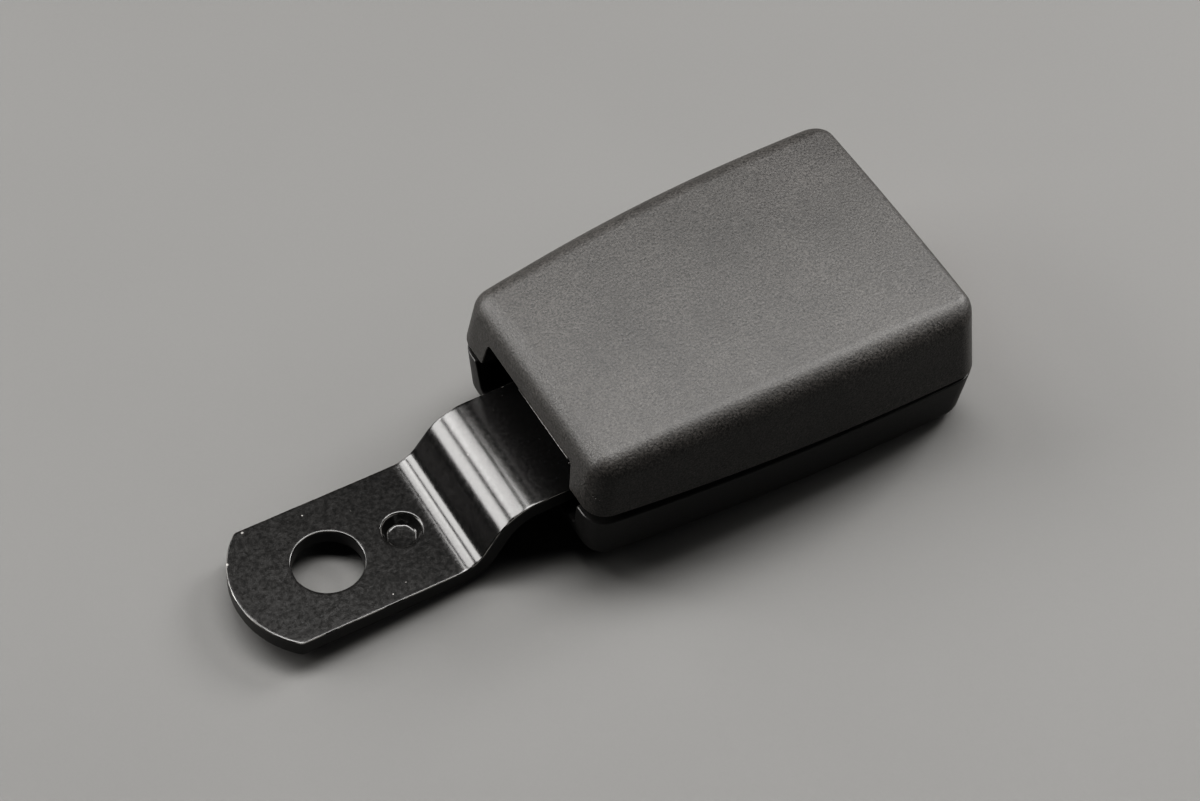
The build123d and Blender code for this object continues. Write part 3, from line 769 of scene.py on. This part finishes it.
def make_plate():
    m = Mesh()
    e_top, e_bot = 0.24, 0.20
    # edge outline in the flat blank, anticlockwise, starting at the right side of the first bend
    stations = [S1 - 0.5] + [lerp(S1, S2, k / 12) for k in range(13)] + [lerp(S2, S3, k / 5) for k in range(1, 5)] \
        + [lerp(S3, S4, k / 20) for k in range(21)] + [S4 + 1.2]
    right = [(s, -half_width(s)) for s in stations]
    x_c = -math.sqrt(16.4 ** 2 - 12.35 ** 2)
    a_c = math.atan2(-12.35, x_c)
    rc = 1.1                                     # corners of the rounded end, eased
    # centre of the easing arc: inside both the side (y = -12.35) and the end circle
    ccy = -12.35 + rc
    ccx = -math.sqrt((16.4 - rc) ** 2 - ccy ** 2)
    ang_end = math.atan2(ccy, ccx)               # about -130 degrees
    pts = []
    far = S_END
    # plateau end (hidden in the casing)
    pts += [(far, -half_width(far) + 0.6), (far, 0.0), (far, half_width(far) - 0.6), (far - 0.6, half_width(far))]
    plateau_left = [(s, half_width(s)) for s in (far - 6, far - 14, S4 + 6)]
    pts += plateau_left
    left = [(s, half_width(s)) for s in reversed(stations)]
    pts += left
    pts += [(s, 12.35) for s in (13.0, 8.0, 3.0, -2.0, -6.0)]
    pts += [(ccx + rc * math.cos(a), -ccy + rc * math.sin(a)) for a in
            [lerp(math.pi / 2, -ang_end, k / 6) for k in range(7)]]
    n_end = 44
    a0, a1 = -ang_end, 2 * math.pi + ang_end
    pts += [(16.4 * math.cos(lerp(a0, a1, k / n_end)), 16.4 * math.sin(lerp(a0, a1, k / n_end))) for k in range(1, n_end)]
    pts += [(ccx + rc * math.cos(a), ccy + rc * math.sin(a)) for a in
            [lerp(2 * math.pi + ang_end, 1.5 * math.pi, k / 6) for k in range(7)]]
    pts += [(s, -12.35) for s in (-6.0, -2.0, 3.0, 8.0, 13.0)]
    pts += right
    pts += [(s, -half_width(s)) for s in (S4 + 6, far - 14, far - 6)] + [(far - 0.6, -half_width(far))]
    n = len(pts)
    # outward normals in the blank
    nrm = []
    for i in range(n):
        p, q = pts[i - 1], pts[(i + 1) % n]
        tx, ty = q[0] - p[0], q[1] - p[1]
        ln = math.hypot(tx, ty)
        nrm.append((ty / ln, -tx / ln))
    if sum(pts[i][0] * nrm[i][0] for i in range(n)) < 0:
        nrm = [(-a, -b) for a, b in nrm]

    def offset_ring(off, h, wear_and_highlight):
        return m.ring([plate_point(p[0] - q[0] * off, p[1] - q[1] * off, h) for p, q in zip(pts, nrm)], wear_and_highlight)

    # faint roll at the sheared edge, then the wall, then the burr side
    flat_rim = 0.30                              # narrow flat band inside the edge, keeps the shading of the flat face clean
    chain = [offset_ring(e_top + flat_rim, T, 0.0)]
    for k in range(6):
        a = math.pi / 2 * k / 5
        chain.append(offset_ring(e_top * (1 - math.sin(a)), T - e_top * (1 - math.cos(a)), (0.0, 0.55, 1.0, 0.9, 0.35, 0.0)[k]))
    chain.append(offset_ring(0.0, T - e_top - 0.12, -1.0))
    chain.append(offset_ring(0.0, T * 0.5, -1.0))
    chain.append(offset_ring(0.0, e_bot + 0.1, -1.0))
    for k in range(4):
        a = math.pi / 2 * k / 3
        chain.append(offset_ring(e_bot * (1 - math.cos(a)), e_bot * (1 - math.sin(a)), (0.0, 0.8, 0.8, 0.0)[k]))
    for a, b in zip(chain, chain[1:]):
        m.bridge(a, b)

    def axis_rings(cx, r_list, n_seg, mods=None, closed_centre=None):
        rings = []
        for j, (r, h, wear_and_highlight) in enumerate(r_list):
            mod = mods[j] if mods else None
            rings.append(m.ring([plate_point(x, y, h) for x, y in circle_loop(cx, 0.0, r, n_seg, mod=mod)], wear_and_highlight))
        for a, b in zip(rings, rings[1:]):
            m.bridge(a, b)
        if closed_centre is not None:
            c = m.add(plate_point(cx, 0.0, closed_centre))
            last = rings[-1]
            for i in range(n_seg):
                m.f.append([last[i], last[(i + 1) % n_seg], c])
        return rings

    # anchor hole
    hr = 0.27
    hole = [(6.0 + hr * (1 - math.sin(a)), T - hr * (1 - math.cos(a)), w)
            for a, w in zip([math.pi / 2 * k / 5 for k in range(6)], (0.0, 0.5, 0.78, 0.6, 0.3, 0.0))]
    hole = [(6.0 + hr + flat_rim, T, 0.0)] + hole
    hole += [(6.0, 2.72, -1.0), (6.0, 1.6, -1.0), (6.0, 0.3, -1.0), (6.08, 0.1, 0.5), (6.28, 0.0, 0.0)]
    hole_r = axis_rings(0.0, hole, 96)
    # pressed pip: dished mouth, cone, floor with a faint eight-sided punch print
    oct8 = lambda k: (lambda a: k * (math.cos(8 * a + 0.4) - 0.2))
    dish = [(3.92, T, 0.0), (3.70, T, 0.0), (3.60, T - 0.010, 0.1), (3.50, T - 0.05, 0.5), (3.40, T - 0.13, 0.9), (3.30, T - 0.27, 0.8), (3.22, T - 0.46, 0.1),
            (2.88, T - 1.12, 0.0), (2.58, T - 1.62, 0.1), (2.46, T - 1.76, 0.8), (2.32, T - 1.84, 0.5), (2.16, T - 1.86, 0.0), (2.00, T - 1.87, 0.0)]
    mods = [None] * 7 + [oct8(0.004), oct8(0.014), oct8(0.022), oct8(0.024), oct8(0.024), oct8(0.02)]
    dish_r = axis_rings(13.5, dish, 72, mods, closed_centre=T - 1.86)
    boss = [(3.35, 0.0, 0.0), (3.12, -0.05, 0.0), (3.0, -0.2, 0.0), (3.0, -0.85, 0.0), (2.93, -1.05, 0.4), (2.76, -1.17, 0.8), (2.5, -1.2, 0.3)]
    boss_r = axis_rings(13.5, boss, 72, closed_centre=-1.2)

    # top and bottom skins: a flat eye end and a flat tail filled between loops, the bends as quads
    i_l0 = 4 + len(plateau_left)                 # first station on the left, at S4 + 1.2
    i_l1 = i_l0 + len(stations) - 1              # last station on the left, just before S1
    i_r0 = i_l1 + 5 + 7 + (n_end - 1) + 7 + 5 + 1
    i_r1 = i_r0 + len(stations) - 1
    NY = 14
    for ring, h, holes in ((chain[0], T, ((hole_r[0], 0.0, 6.0 + hr + flat_rim, 96), (dish_r[0], 13.5, 3.92, 72))),
                           (chain[-1], 0.0, ((hole_r[-1], 0.0, 6.28, 96), (boss_r[0], 13.5, 3.35, 72)))):
        off = e_top + flat_rim if h else e_bot
        rows = []
        for k, s in enumerate(stations):
            vr, vl = ring[i_r0 + k], ring[i_l1 - k]
            y0 = -half_width(s) + off
            row = [vr] + [m.add(plate_point(s, lerp(y0, -y0, j / NY), h)) for j in range(1, NY)] + [vl]
            rows.append((s, row, [lerp(y0, -y0, j / NY) for j in range(NY + 1)]))
        for (s0, ra, _), (s1, rb, _) in zip(rows, rows[1:]):
            for j in range(NY):
                m.f.append([ra[j], ra[j + 1], rb[j + 1], rb[j]])
        # eye end
        ids = [ring[i] for i in range(i_l1, i_r0 + 1)]
        pl = [(pts[i][0] - nrm[i][0] * off, pts[i][1] - nrm[i][1] * off) for i in range(i_l1, i_r0 + 1)]
        ids += rows[0][1][1:-1]
        pl += [(rows[0][0], y) for y in rows[0][2][1:-1]]
        extra = [(x * 2.4 + (0.6 if r % 2 else -0.6), r * 2.4) for x in range(-8, 8) for r in range(-5, 6)]
        extra = [p for p in extra if math.hypot(*p) < 15.0 and abs(p[1]) < 11.3 and p[0] < S1 - 2.0
                 and math.hypot(*p) > 7.2 and math.hypot(p[0] - 13.5, p[1]) > 4.9]
        planar_fill(m, [(ids, pl)], [(hid, circle_loop(cx, 0.0, r, k)) for hid, cx, r, k in holes], h, False, extra)
        # tail
        tail_idx = list(range(i_r1, n)) + list(range(0, i_l0 + 1))
        ids = [ring[i] for i in tail_idx] + list(reversed(rows[-1][1][1:-1]))
        pl = [(pts[i][0] - nrm[i][0] * off, pts[i][1] - nrm[i][1] * off) for i in tail_idx] \
            + [(rows[-1][0], y) for y in reversed(rows[-1][2][1:-1])]
        planar_fill(m, [(ids, pl)], [], h, False)
    return m.build("anchor_plate_pressed", "frame", ("anchor_plate",))


plate = make_plate()


# =====================================================================
# materials
# =====================================================================
class Nodes:
    def __init__(self, name):
        self.mat = bpy.data.materials.new(name)
        self.mat.use_nodes = True
        self.t = self.mat.node_tree
        self.t.nodes.clear()
        self.out = self.t.nodes.new("ShaderNodeOutputMaterial")
        self.bsdf = self.t.nodes.new("ShaderNodeBsdfPrincipled")
        self.link(self.bsdf.outputs[0], self.out.inputs[0])
        self.co = self.t.nodes.new("ShaderNodeTexCoord").outputs["Object"]

    def link(self, a, b):
        self.t.links.new(a, b)

    def new(self, kind, **props):
        nd = self.t.nodes.new(kind)
        for k, v in props.items():
            setattr(nd, k, v)
        return nd

    def set(self, **kw):
        for k, v in kw.items():
            self.bsdf.inputs[k.replace("_", " ")].default_value = v

    def noise(self, scale, detail=3.0, rough=0.55, distortion=0.0, vec=None, dims=3):
        nd = self.new("ShaderNodeTexNoise")
        nd.inputs["Scale"].default_value = scale
        nd.inputs["Detail"].default_value = detail
        nd.inputs["Roughness"].default_value = rough
        nd.inputs["Distortion"].default_value = distortion
        self.link(vec or self.co, nd.inputs["Vector"])
        return nd.outputs["Fac"]

    def voronoi(self, scale, feature="F1", vec=None, out="Distance", rand=1.0):
        nd = self.new("ShaderNodeTexVoronoi", feature=feature)
        nd.inputs["Scale"].default_value = scale
        nd.inputs["Randomness"].default_value = rand
        self.link(vec or self.co, nd.inputs["Vector"])
        return nd.outputs[out]

    def ramp(self, fac, stops, interp="LINEAR"):
        nd = self.new("ShaderNodeValToRGB")
        nd.color_ramp.interpolation = interp
        el = nd.color_ramp.elements
        while len(el) < len(stops):
            el.new(0.5)
        for e, (p, c) in zip(el, stops):
            e.position = p
            e.color = c if len(c) == 4 else (*c, 1.0)
        self.link(fac, nd.inputs[0])
        return nd.outputs[0]

    def mapr(self, v, a, b, c, d):
        nd = self.new("ShaderNodeMapRange")
        nd.inputs["From Min"].default_value = a
        nd.inputs["From Max"].default_value = b
        nd.inputs["To Min"].default_value = c
        nd.inputs["To Max"].default_value = d
        self.link(v, nd.inputs["Value"])
        return nd.outputs[0]

    def math(self, op, a, b=None, clamp=False):
        nd = self.new("ShaderNodeMath", operation=op, use_clamp=clamp)
        for i, v in enumerate((a, b)):
            if v is None:
                continue
            if isinstance(v, (int, float)):
                nd.inputs[i].default_value = v
            else:
                self.link(v, nd.inputs[i])
        return nd.outputs[0]

    def mix(self, fac, a, b):
        nd = self.new("ShaderNodeMix", data_type="RGBA")
        if isinstance(fac, (int, float)):
            nd.inputs[0].default_value = fac
        else:
            self.link(fac, nd.inputs[0])
        for i, v in ((6, a), (7, b)):
            if isinstance(v, tuple):
                nd.inputs[i].default_value = v if len(v) == 4 else (*v, 1.0)
            else:
                self.link(v, nd.inputs[i])
        return nd.outputs[2]

    def bump(self, height, strength, distance, normal=None):
        nd = self.new("ShaderNodeBump")
        nd.inputs["Strength"].default_value = strength
        nd.inputs["Distance"].default_value = distance
        self.link(height, nd.inputs["Height"])
        if normal is not None:
            self.link(normal, nd.inputs["Normal"])
        return nd.outputs[0]

    def spots(self, places, wobble=900, amount=0.5):
        """small ragged marks at given places: (x, y, z, radius) in millimetres"""
        rag = self.math("MULTIPLY", self.math("SUBTRACT", self.noise(wobble, 3.0, 0.6), 0.5), amount * MM)
        total = None
        for x, y, z, r in places:
            nd = self.new("ShaderNodeVectorMath", operation="DISTANCE")
            self.link(self.co, nd.inputs[0])
            nd.inputs[1].default_value = (x * MM, y * MM, z * MM)
            d = self.math("ADD", nd.outputs["Value"], rag)
            one = self.mapr(d, r * 0.7 * MM, r * MM, 1.0, 0.0)
            total = one if total is None else self.math("MAXIMUM", total, one)
        return total

    def attr(self, name):
        nd = self.new("ShaderNodeAttribute", attribute_name=name)
        return nd.outputs["Fac"]

    def stretch(self, sx, sy, sz):
        nd = self.new("ShaderNodeMapping")
        nd.inputs["Scale"].default_value = (sx, sy, sz)
        self.link(self.co, nd.inputs["Vector"])
        return nd.outputs[0]


def srgb(r, g, b):
    f = lambda c: c / 12.92 if c <= 0.04045 else ((c + 0.055) / 1.055) ** 2.4
    return (f(r / 255), f(g / 255), f(b / 255), 1.0)


def moulded(name, base, alt, rough, grain_mm=0.42, depth=0.030, level=0.5, speck=0.6, rim=0.0):
    """spark-eroded moulding grain: irregular pits a few tenths of a millimetre across"""
    n = Nodes(name)
    fine = n.noise(1000 / grain_mm, 3.0, 0.6)
    finer = n.noise(2300 / grain_mm, 2.0, 0.6, vec=n.stretch(1.0, 1.13, 0.9))
    cells = n.voronoi(1000 / (grain_mm * 1.3), "SMOOTH_F1")
    wide = n.noise(60, 3.0, 0.6)
    both = n.math("ADD", n.math("MULTIPLY", fine, 0.55), n.math("MULTIPLY", finer, 0.45))
    h = n.math("ADD", n.math("MULTIPLY", both, 0.75), n.math("MULTIPLY", cells, 0.35))
    bump = n.bump(h, 0.9, depth * MM)
    n.link(n.bump(wide, 0.25, 0.02 * MM, bump), n.bsdf.inputs["Normal"])
    tone = n.mapr(both, 0.40, 0.64, 0.0, 1.0)
    col = n.mix(n.math("MULTIPLY", tone, speck, True), base, alt)
    wide_t = n.mapr(wide, 0.35, 0.65, 0.0, 0.35)
    col = n.mix(wide_t, col, tuple(c * 0.82 for c in base[:3]) + (1.0,))
    rg = n.mapr(h, 0.25, 0.85, rough - 0.06, rough + 0.08)
    if rim:
        # edges polished by handling: lower roughness, plus a lighter colour along them that is a painted highlight
        w = n.math("MULTIPLY", n.attr("wear_and_highlight"), rim, True)
        rg = n.mix(w, rg, (0.22, 0.22, 0.22))
        # painted highlight: the rims are lightened toward the speck colour
        col = n.mix(n.math("MULTIPLY", w, 0.5), col, alt)
    n.link(col, n.bsdf.inputs["Base Color"])
    n.link(rg, n.bsdf.inputs["Roughness"])
    n.bsdf.inputs["Specular IOR Level"].default_value = level
    return n


def coated_steel():
    """satin black coating, rubbed thin in a line along the sheared edges, with a few small chips"""
    n = Nodes("mat_plate_black")
    raw = n.attr("wear_and_highlight")
    wear_and_highlight = n.math("MAXIMUM", raw, 0.0)
    sheared = n.mapr(raw, -0.9, -0.1, 1.0, 0.0)
    fine = n.noise(3200, 3.0, 0.6)
    mott = n.noise(1500, 4.0, 0.62)
    blot = n.noise(130, 3.0, 0.6)
    drawn = n.noise(1500, 3.0, 0.6, vec=n.stretch(0.10, 1.0, 0.10))
    edge_n = n.noise(260, 3.0, 0.6)
    mask = n.math("MULTIPLY", wear_and_highlight, n.mapr(edge_n, 0.34, 0.62, 0.55, 1.1), True)
    mask = n.mapr(mask, 0.66, 1.02, 0.0, 0.62)
    chips = n.mapr(n.noise(520, 5.0, 0.75), 0.712, 0.73, 0.0, 1.0)
    mask = n.math("MAXIMUM", mask, n.math("MULTIPLY", chips, 0.7))
    nicks = n.spots(((9.2, -9.5, 3.1, 0.17), (6.3, -10.6, 3.1, 0.13), (23.3, 6.1, 6.7, 0.12), (-14.6, 7.2, 3.05, 0.30),
                     (-9.6, 11.7, 3.05, 0.24), (0.5, 10.2, 3.1, 0.12), (38.6, 11.85, 12.5, 0.26)))
    mask = n.math("MAXIMUM", mask, n.math("MULTIPLY", nicks, 0.65))
    coat = n.mix(n.mapr(mott, 0.35, 0.68, 0.0, 1.0), (0.0080, 0.0079, 0.0078), (0.0150, 0.0146, 0.0144))
    coat = n.mix(n.mapr(fine, 0.62, 0.72, 0.0, 0.8), coat, (0.036, 0.037, 0.041))
    coat = n.mix(n.mapr(blot, 0.3, 0.7, 0.0, 0.5), coat, (0.009, 0.0088, 0.0086))
    coat = n.mix(sheared, coat, (0.019, 0.0188, 0.0184))
    n.link(n.mix(mask, coat, (0.60, 0.585, 0.56)), n.bsdf.inputs["Base Color"])
    n.link(mask, n.bsdf.inputs["Metallic"])
    rg = n.mix(mask, n.mapr(n.math("ADD", n.math("MULTIPLY", mott, 0.8), n.math("MULTIPLY", drawn, 0.2)), 0.35, 0.65, 0.142, 0.203), (0.28, 0.28, 0.28))
    n.link(n.mix(sheared, rg, (0.55, 0.55, 0.55)), n.bsdf.inputs["Roughness"])
    n.link(n.mapr(sheared, 0.0, 1.0, 0.5, 0.34), n.bsdf.inputs["Specular IOR Level"])
    n.bsdf.inputs["IOR"].default_value = 1.6
    h = n.math("ADD", n.math("MULTIPLY", mott, 0.2), n.math("MULTIPLY", fine, 0.3))
    h = n.math("ADD", h, n.math("MULTIPLY", drawn, 0.12))
    n.link(n.bump(h, 0.25, 0.0022 * MM, n.bump(blot, 0.04, 0.01 * MM)), n.bsdf.inputs["Normal"])
    return n.mat


def steel(name, base, rough, dirs=(1, 1, 1), depth=0.004, tint=None):
    """zinc-plated or bright pressed steel with a faint directional grain"""
    n = Nodes(name)
    grain = n.noise(500, 4.0, 0.6, vec=n.stretch(*dirs))
    blot = n.noise(140, 3.0, 0.6)
    c = n.mix(n.mapr(blot, 0.35, 0.65, 0.0, 1.0), base, tuple(q * 0.72 for q in base[:3]) + (1.0,))
    if tint:
        c = n.mix(n.mapr(grain, 0.45, 0.65, 0.0, 0.35), c, tint)
    n.link(c, n.bsdf.inputs["Base Color"])
    n.bsdf.inputs["Metallic"].default_value = 1.0
    n.link(n.mapr(grain, 0.3, 0.7, rough - 0.07, rough + 0.08), n.bsdf.inputs["Roughness"])
    n.link(n.bump(grain, 0.4, depth * MM), n.bsdf.inputs["Normal"])
    return n.mat


def felt():
    n = Nodes("mat_pad_felt")
    f = n.noise(1800, 5.0, 0.7, 0.4)
    n.link(n.mix(n.mapr(f, 0.3, 0.7, 0.0, 1.0), (0.035, 0.035, 0.037), (0.11, 0.11, 0.112)), n.bsdf.inputs["Base Color"])
    n.link(n.mapr(f, 0.3, 0.7, 0.85, 1.0), n.bsdf.inputs["Roughness"])
    n.link(n.bump(f, 0.8, 0.05 * MM), n.bsdf.inputs["Normal"])
    return n.mat


M = {
    "cover_upper": moulded("mat_cover_upper", (0.0045, 0.0042, 0.0040, 1), (0.074, 0.0695, 0.0655, 1), 0.46, 0.34, 0.100, 0.56, 0.95, 0.85).mat,
    "cover_lower": moulded("mat_cover_lower", (0.0095, 0.0092, 0.0090, 1), (0.030, 0.0292, 0.0285, 1), 0.50, 0.30, 0.030, 0.42, 0.7, 0.7).mat,
    "button_red": moulded("mat_button_red", (0.42, 0.012, 0.010, 1), (0.50, 0.020, 0.015, 1), 0.34, 0.28, 0.006, 0.5, 0.3).mat,
    "acetal_black": moulded("mat_acetal_black", (0.016, 0.016, 0.017, 1), (0.028, 0.028, 0.029, 1), 0.36, 0.5, 0.004, 0.5, 0.3).mat,
    "acetal_natural": moulded("mat_acetal_natural", (0.62, 0.60, 0.54, 1), (0.70, 0.68, 0.62, 1), 0.38, 0.5, 0.004, 0.5, 0.3).mat,
    "guide_plastic": moulded("mat_guide_plastic", (0.018, 0.0178, 0.0175, 1), (0.036, 0.035, 0.034, 1), 0.46, 0.3, 0.010, 0.5, 0.3).mat,
    "plate_black": coated_steel(),
    "frame_steel": steel("mat_frame_steel", (0.60, 0.60, 0.58, 1), 0.34, (1, 6, 6), tint=(0.66, 0.60, 0.42, 1)),
    "latch_steel": steel("mat_latch_steel", (0.52, 0.52, 0.53, 1), 0.28, (6, 1, 1)),
    "pin_steel": steel("mat_pin_steel", (0.64, 0.64, 0.65, 1), 0.20, (8, 1, 8), 0.002),
    "rivet_steel": steel("mat_rivet_steel", (0.58, 0.57, 0.55, 1), 0.32, (2, 2, 2)),
    "spring_steel": steel("mat_spring_steel", (0.48, 0.48, 0.49, 1), 0.24, (3, 3, 3), 0.002),
    "pad_felt": felt(),
}
slots = {}
for m_ in frame["record"].get("materials", []):
    for nd_ in m_.get("nodes", []):
        slots[nd_] = m_["slot"]
for name, ob in frame["nodes"].items():
    first = ob.data.materials[0].name.split(".")[0] if ob.data.materials and ob.data.materials[0] else None
    mat = M.get(slots.get(name)) or M.get(first)
    if mat is None:
        raise RuntimeError(f"no material for {name} {first}")
    ob.data.materials.clear()
    ob.data.materials.append(mat)
for ob, key in ((upper, "cover_upper"), (lower, "cover_lower"), (lips, "cover_lower"), (plate, "plate_black"), (flash, "cover_upper")):
    ob.data.materials.append(M[key])
for ob, key in eased:
    ob.data.materials.append(M[key])
for ob, joint_, vec_, anchor_, keep_ in springs:
    ob.data.materials.append(M["spring_steel"])
    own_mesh(ob)


# =====================================================================
# floor, light, camera
# =====================================================================
def support_line():
    """the line that the part rests on in side view, from the pip's tip to the casing's front lower edge"""
    pts = []
    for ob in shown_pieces():
        if ob.type == "MESH":
            pts += [(v.co.x, v.co.z) for v in ob.data.vertices]
    pts = sorted(set((round(x, 6), round(z, 6)) for x, z in pts))
    hull = []
    for p in pts:
        while len(hull) > 1 and (hull[-1][0] - hull[-2][0]) * (p[1] - hull[-2][1]) - (hull[-1][1] - hull[-2][1]) * (p[0] - hull[-2][0]) <= 0:
            hull.pop()
        hull.append(p)
    for a, b in zip(hull, hull[1:]):
        if a[0] <= 0.065 <= b[0]:
            return a, b
    return hull[0], hull[-1]


pa, pb = support_line()
slope = math.atan2(pb[1] - pa[1], pb[0] - pa[0])
print("floor contacts", pa, pb, "tilt", math.degrees(slope))

cam_az, cam_el, cam_roll = map(math.radians, (-33.7835, 51.7332, 4.4254))
back = Vector((math.sin(cam_az) * math.cos(cam_el), -math.cos(cam_az) * math.cos(cam_el), math.sin(cam_el)))
right = Vector((0, 0, 1)).cross(back).normalized()
up_ = back.cross(right)
cx_ = right * math.cos(cam_roll) + up_ * math.sin(cam_roll)
cy_ = -right * math.sin(cam_roll) + up_ * math.cos(cam_roll)
cam_loc = (cx_ * 43.996 + cy_ * 26.074 + back * 487.19) * MM + Vector((0, 0, 3.1 * MM))
cam_data = bpy.data.cameras.new("camera")
cam = bpy.data.objects.new("camera", cam_data)
scene.collection.objects.link(cam)
cam.matrix_world = Matrix.Translation(cam_loc) @ Matrix((cx_, cy_, back)).transposed().to_4x4()
cam_data.lens = 3013.229 * 36.0 / 1200.0
cam_data.sensor_width = 36.0
cam_data.clip_start, cam_data.clip_end = 0.01, 20.0
scene.camera = cam

floor_n = Vector((-math.sin(slope), 0, math.cos(slope)))
fm = bpy.data.meshes.new("studio_floor")
e1 = Vector((math.cos(slope), 0, math.sin(slope)))
e2 = Vector((0, 1, 0))
o_ = Vector((pa[0], 0, pa[1])) - floor_n * 0.00003
half = 1.6
fm.from_pydata([tuple(o_ + e1 * a + e2 * b) for a, b in ((-half, -half), (half, -half), (half, half), (-half, half))], [], [(0, 1, 2, 3)])
floor = bpy.data.objects.new("studio_floor", fm)
scene.collection.objects.link(floor)
nf = Nodes("mat_studio_floor")
fl = nf.noise(14, 3.0, 0.5)
nf.link(nf.mix(nf.mapr(fl, 0.35, 0.65, 0.0, 1.0), (0.1310, 0.1305, 0.1280), (0.1350, 0.1345, 0.1320)), nf.bsdf.inputs["Base Color"])
nf.link(nf.mapr(nf.noise(2500, 2.0, 0.5), 0.3, 0.7, 0.5, 0.62), nf.bsdf.inputs["Roughness"])
nf.bsdf.inputs["Specular IOR Level"].default_value = 0.35
fm.materials.append(nf.mat)

# directions of the lights in the plane of a ceiling 1 m up: r to the picture's right, a away from the camera
r_dir = Vector((math.cos(cam_az), math.sin(cam_az), 0))
a_dir = Vector((-math.sin(cam_az), math.cos(cam_az), 0))
centre = Vector((0.06, 0.0, 0.01))


def ceiling_light(name, r0, r1, a0, a1, height, radiance, colour=(1, 1, 1)):
    data = bpy.data.lights.new(name, "AREA")
    data.shape = "RECTANGLE"
    data.size, data.size_y = (r1 - r0) * height, (a1 - a0) * height
    data.energy = radiance * math.pi * data.size * data.size_y
    data.color = colour
    ob = bpy.data.objects.new(name, data)
    scene.collection.objects.link(ob)
    loc = centre + (r_dir * (r0 + r1) / 2 + a_dir * (a0 + a1) / 2 + Vector((0, 0, 1))) * height
    rot = Matrix((r_dir, a_dir, Vector((0, 0, 1)))).transposed()
    ob.matrix_world = Matrix.Translation(loc) @ rot.to_4x4()
    return ob


def facing_light(name, az, el, dist, w, h, radiance, colour=(1, 1, 1)):
    """az from +X towards +Y"""
    d = Vector((math.cos(az) * math.cos(el), math.sin(az) * math.cos(el), math.sin(el)))
    data = bpy.data.lights.new(name, "AREA")
    data.shape = "RECTANGLE"
    data.size, data.size_y = w, h
    data.energy = radiance * math.pi * w * h
    data.color = colour
    ob = bpy.data.objects.new(name, data)
    scene.collection.objects.link(ob)
    ob.location = centre + d * dist
    ob.rotation_mode = "QUATERNION"
    ob.rotation_quaternion = d.to_track_quat("Z", "Y")
    return ob


warm = (1.0, 0.985, 0.965)
ceiling_light("overhead_softbox", -0.38, 0.42, 0.12, 0.46, 1.0, 14.0, warm)
ceiling_light("overhead_left", -1.15, -0.50, 0.10, 0.42, 1.0, 10.2, warm)
ceiling_light("overhead_right", 1.02, 2.02, -0.32, 1.20, 1.0, 3.5, warm)
facing_light("left_softbox", math.radians(145), math.radians(25), 1.3, 0.648, 0.435, 10.5, warm)
facing_light("far_softbox", math.radians(118), math.radians(36), 1.3, 0.70, 0.55, 4.0, warm)
facing_light("right_softbox", math.radians(9.6), math.radians(38.6), 1.3, 0.412, 0.458, 22.0, warm)
world = bpy.data.worlds.new("studio")
scene.world = world
world.use_nodes = True
world.node_tree.nodes["Background"].inputs[0].default_value = (1.0, 0.99, 0.97, 1)
world.node_tree.nodes["Background"].inputs[1].default_value = 0.02
